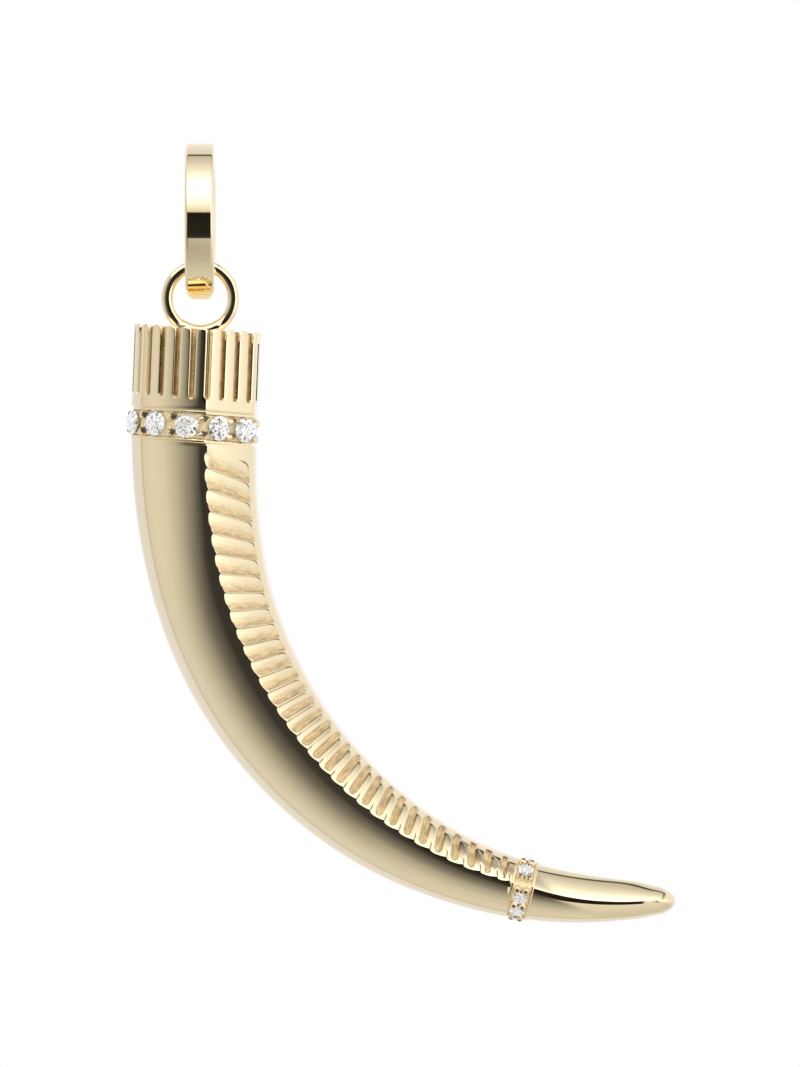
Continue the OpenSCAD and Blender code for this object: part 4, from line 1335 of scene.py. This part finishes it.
# The shades are painted light and dark that stand in for what the facets reflect
shades = [(place, [level * part for part in SHADE_TINT]) for place, level in SHADES]
feed(tree, clear["Base Color"], ramp_of(tree, chance.outputs["Value"], shades, "CONSTANT"))
print("diamond:", RINGS * WEDGES, "parts in", len(SHADES), "shades")

# %% [markdown]
# ## Stones in their seats
#
# Five stones sit on each side of the upper collar, and smaller ones go round the lower one, two of them on
# the line of symmetry. Each seat is a share of the outline, counted from the middle of the inner strip. A
# curve modifier could carry the stones round, but a real setter places each one, and so does this cell. Each
# stone is turned by another angle, so that no two catch the light alike.

# %% Seats
CHANNEL = 0.12
COLLAR_TOP = (-0.365, -16.066)
TIP_BAND_HEIGHT, TIP_GAP = 1.46, 0.03
STONE_SHARES = (0.19, 0.362, 0.54, 0.725, 0.91)
TIP_STONE_SHARES = (0, 0.235, 0.6, 0.785, 1)
tip_band_at = TIP_COLLAR_AT + TIP_BAND_HEIGHT / 2
tip_top = middle(np.array([TIP_COLLAR_AT]))[0] + TIP_GAP * along(math.radians(TIP_COLLAR_HEADING))
# Each slice is the floor of the channel: the band's own width, less the channel's depth on both sides
COLLAR = {"origin": COLLAR_TOP, "heading": COLLAR_HEADING, "height": 2.05, "shift": 0.06,
          "slice": (8.06 - 2 * CHANNEL, 0.6, 0.27), "shares": STONE_SHARES, "stone": 1.58, "rise": 0.28}
TIP_COLLAR = {"origin": tuple(tip_top), "heading": TIP_COLLAR_HEADING, "height": TIP_BAND_HEIGHT, "shift": 0.0,
              "slice": (3.88 - 2 * CHANNEL, *(float(read(SLICES, k, tip_band_at)) for k in (2, 3))),
              "shares": TIP_STONE_SHARES, "stone": 0.93, "rise": 0.1}


def both_sides(shares):
    return [side * share for share in shares for side in ((1,) if share in (0, 1) else (1, -1))]


def seat(band, share, rise, level=0.5):
    """Place of a seat, and its outward and along-the-claw directions."""
    u, y, nu, ny = (float(k) for k in spot(outline(*band["slice"]), share))
    h = math.radians(band["heading"])
    out = np.array([nu * across(h)[0], ny, nu * across(h)[1]])
    down = np.array([along(h)[0], 0, along(h)[1]])
    flat = np.array(band["origin"]) + level * band["height"] * along(h) + (u + band["shift"]) * across(h)
    return np.array([flat[0], y, flat[1]]) + rise * out, out, down


def copy_to(place, original, name, ways, size, turn=0.0):
    """A copy with its own mesh: turned about its axis, sized, laid along three directions, and moved."""
    copy = original.copy()
    copy.data = original.data.copy()
    copy.name = copy.data.name = name
    bpy.context.collection.objects.link(copy)
    axes = Matrix([[way[i] for way in ways] for i in range(3)]).to_4x4()
    lift = Matrix.Translation((place * MM).tolist())
    copy.data.transform(lift @ axes @ Matrix.Scale(size * MM, 4) @ Matrix.Rotation(turn, 4, "Z"))
    return copy


print("seats:", len(both_sides(STONE_SHARES)), "and", len(both_sides(TIP_STONE_SHARES)))

# %% Stones
TURN_EACH = 37
NEAR_ITS_NODE = 0.3


def set_stones(band, node):
    for k, share in enumerate(both_sides(band["shares"]), 1):
        place, out, down = seat(band, share, band["rise"])
        stone = copy_to(place, brilliant, f"{node}_{k}_cut", (down, np.cross(down, out), out), band["stone"],
                        math.radians(TURN_EACH * k))
        note(stone, "facet", [(*vertex.co.xy, k + band["stone"]) for vertex in brilliant.data.vertices])
        stone.data.materials.append(diamond)
        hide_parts(f"{node}_{k}")
        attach(stone, "claw")
        low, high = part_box(f"{node}_{k}")
        off_by = np.array((low + high) / 2) / MM - place
        if np.linalg.norm(off_by) > NEAR_ITS_NODE:
            print(stone.name, "lies", np.round(off_by, 2), "from its node")


set_stones(COLLAR, "collar_stone")
set_stones(TIP_COLLAR, "tip_stone")
bpy.data.objects.remove(brilliant)
print("stones:", len(both_sides(STONE_SHARES)), "and", len(both_sides(TIP_STONE_SHARES)))

# %% [markdown]
# ## The stone bands
#
# Each band is a plate with a rail along both edges and a channel between them. A goldsmith mills the channel
# and drills a seat for each stone. The band is wrapped like the cap, and its seats are sunk as cones, so
# that no boolean has to meet the curved channel.

# %% Bands
RAIL_SHARE, RAIL_OVERHANG = 0.11, 0.025
RAIL_SINK, RAIL_ROUND, RAIL_WALL = 0.05, 0.1, (-0.03, 0.05)
COLUMN_STEP, CHANNEL_ROWS = 0.085, 20
SEAT_SLOPE, SEAT_SHARE = 0.85, 0.37


def band_sheet(name, band, node):
    w, c, e = band["slice"]
    path = outline(w + 2 * CHANNEL, c, e)
    turn, height = 2 * path[1][-1], band["height"]
    count = int(turn / COLUMN_STEP)
    columns = np.arange(count + 1) * turn / count
    rail = RAIL_SHARE * height
    edge = np.array([-RAIL_OVERHANG, 0, 0.02, 0.05, 0.1, rail - 0.04, rail - 0.01, rail + 0.02, rail + 0.05])
    z = np.concatenate([edge, np.linspace(rail + 0.1, height - rail - 0.1, CHANNEL_ROWS),
                        height - edge[::-1]])[:, None]
    u, y, nu, ny = spot(path, 2 * columns / turn)
    inside = np.minimum(z, height - z)
    sunk = (RAIL_SINK * round_groove(inside + RAIL_OVERHANG, RAIL_ROUND)
            + CHANNEL * step_up(inside, *(rail + k for k in RAIL_WALL)) + 0 * columns)
    for share in both_sides(band["shares"]):
        around = (columns - share * turn / 2 % turn + turn / 2) % turn - turn / 2
        radius = np.hypot(around, z - height / 2)
        sunk = np.maximum(sunk, CHANNEL + SEAT_SLOPE * (SEAT_SHARE * band["stone"] - radius))
    u, y = u - nu * sunk, y - ny * sunk
    places = in_frame(band["origin"], band["heading"], u + band["shift"], y, z + 0 * u)
    matt = step_up(inside, rail, rail + RAIL_WALL[1]) + 0 * u
    piece = wrap(name, places, matt, 0 * u, np.zeros(u.shape + (3,)))
    smooth(piece, 40)
    piece.data.materials.append(collar_gold)
    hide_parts(node)
    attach(piece, "claw")
    return piece


for name, band, node in (("collar_band", COLLAR, "collar"), ("tip_collar_band", TIP_COLLAR, "tip_collar")):
    print(name + ":", len(band_sheet(name, band, node).data.polygons), "faces")

# %% [markdown]
# ## The beads
#
# The setter raises little beads from the channel's metal with a graver, and rolls them over the girdles of
# the stones. On the upper collar they are slanting drops, with a painted dark reflection on their thin end. On
# the lower one they are nearly round, with a painted dark reflection on their crown. A drop is a ball whose
# far end is picked out and drawn thin, and which is then stretched as a whole. It is shaped once and copied to
# its places, and the copies are joined.

# %% Beads
BEAD_SHARES = (0.1, 0.285, 0.455, 0.629, 0.811, 1)
TIP_BEAD_SHARES = (0.118, 0.345, 0.505, 0.692, 0.892)
THIN_FROM, THIN_END = 0.2, (1, 0.72, 0.8)
# Where the painted dark reflection lies on a drop's end or a round bead's crown, and how dark it is
DARK_END, DARK_CROWN, BEAD_TONE = (-0.02, 0.12), (0.41, 0.46), 0.95


def pick_points(piece, test):
    """Goes into edit mode with only those points selected whose place passes the test."""
    take_up(piece)
    bpy.ops.object.mode_set(mode="EDIT")
    bpy.ops.mesh.select_mode(type="VERT")
    bpy.ops.mesh.select_all(action="DESELECT")
    bpy.ops.object.mode_set(mode="OBJECT")
    for vertex in piece.data.vertices:
        vertex.select = test(vertex.co)
    bpy.ops.object.mode_set(mode="EDIT")


def shape_bead(name, long, wide, dark_end):
    """A drop along x with its top towards z, with a painted dark reflection on its far end or on its crown."""
    bead = start_from(bpy.ops.mesh.primitive_uv_sphere_add, name, segments=20, ring_count=12, radius=0.5)
    pick_points(bead, lambda place: place.x > THIN_FROM)
    bpy.ops.transform.resize(value=THIN_END, center_override=(0, 0, 0))
    bpy.ops.mesh.select_all(action="SELECT")
    bpy.ops.transform.resize(value=(long, wide, wide), center_override=(0, 0, 0))
    done()
    smooth(bead, 60)
    ball = points_of(bead) * MM / (long, wide, wide)
    shade = step_up(ball[:, 0], *DARK_END) if dark_end else step_up(ball[:, 2], *DARK_CROWN)
    note(bead, "painted_shade", BEAD_TONE * shade)
    bead.data.materials.append(bead_gold)
    return bead


def set_beads(name, band, shares, bead, node, off, slant, rise):
    """Copies of a bead, off the middle line of a band on both sides of it, joined into one piece."""
    beads = []
    for share in both_sides(shares):
        for side in (-1, 1):
            place, out, down = seat(band, share, rise, 0.5 + side * off / band["height"])
            lie = -math.cos(slant) * np.cross(down, out) - math.sin(slant) * down
            beads.append(copy_to(place, bead, f"{name}_{len(beads)}", (lie, np.cross(out, lie), out), 1.0))
    clear_selection()
    for copy in beads:
        copy.select_set(True)
    bpy.context.view_layer.objects.active = beads[0]
    bpy.ops.object.join()
    beads[0].name = beads[0].data.name = name
    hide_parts(node)
    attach(beads[0], "claw")
    bpy.data.objects.remove(bead)
    print(name + ":", len(beads), "beads")


drop = shape_bead("bead", long=0.84, wide=0.44, dark_end=True)
set_beads("collar_beads", COLLAR, BEAD_SHARES, drop, "collar", off=0.5, slant=0.35, rise=0.2)
button = shape_bead("tip_bead", long=0.54, wide=0.5, dark_end=False)
set_beads("tip_collar_beads", TIP_COLLAR, TIP_BEAD_SHARES, button, "tip_collar", off=0.28, slant=0, rise=0.13)

# %% [markdown]
# ## The floor
#
# The pendant hangs in front of a pale studio, far above a plain pale floor. The floor belongs to the studio
# and not to the pendant, and the gold doesn't mirror it, so that the world of light stays the only room.

# %% Floor
FLOOR_SIZE, FLOOR_AT = 4, -0.4
FLOOR_LOOK = {"Base Color": (0.9, 0.9, 0.9, 1), "Roughness": 0.9}
floor = start_from(bpy.ops.mesh.primitive_plane_add, "studio_floor", size=FLOOR_SIZE,
                   location=(0, 0, FLOOR_AT))
floor_paint = bpy.data.materials.new("pale_floor")
floor_paint.use_nodes = True
for name, value in FLOOR_LOOK.items():
    floor_paint.node_tree.nodes["Principled BSDF"].inputs[name].default_value = value
floor.data.materials.append(floor_paint)
floor.visible_glossy = False
print("floor:", FLOOR_SIZE, "m wide,", -FLOOR_AT, "m below the bail")
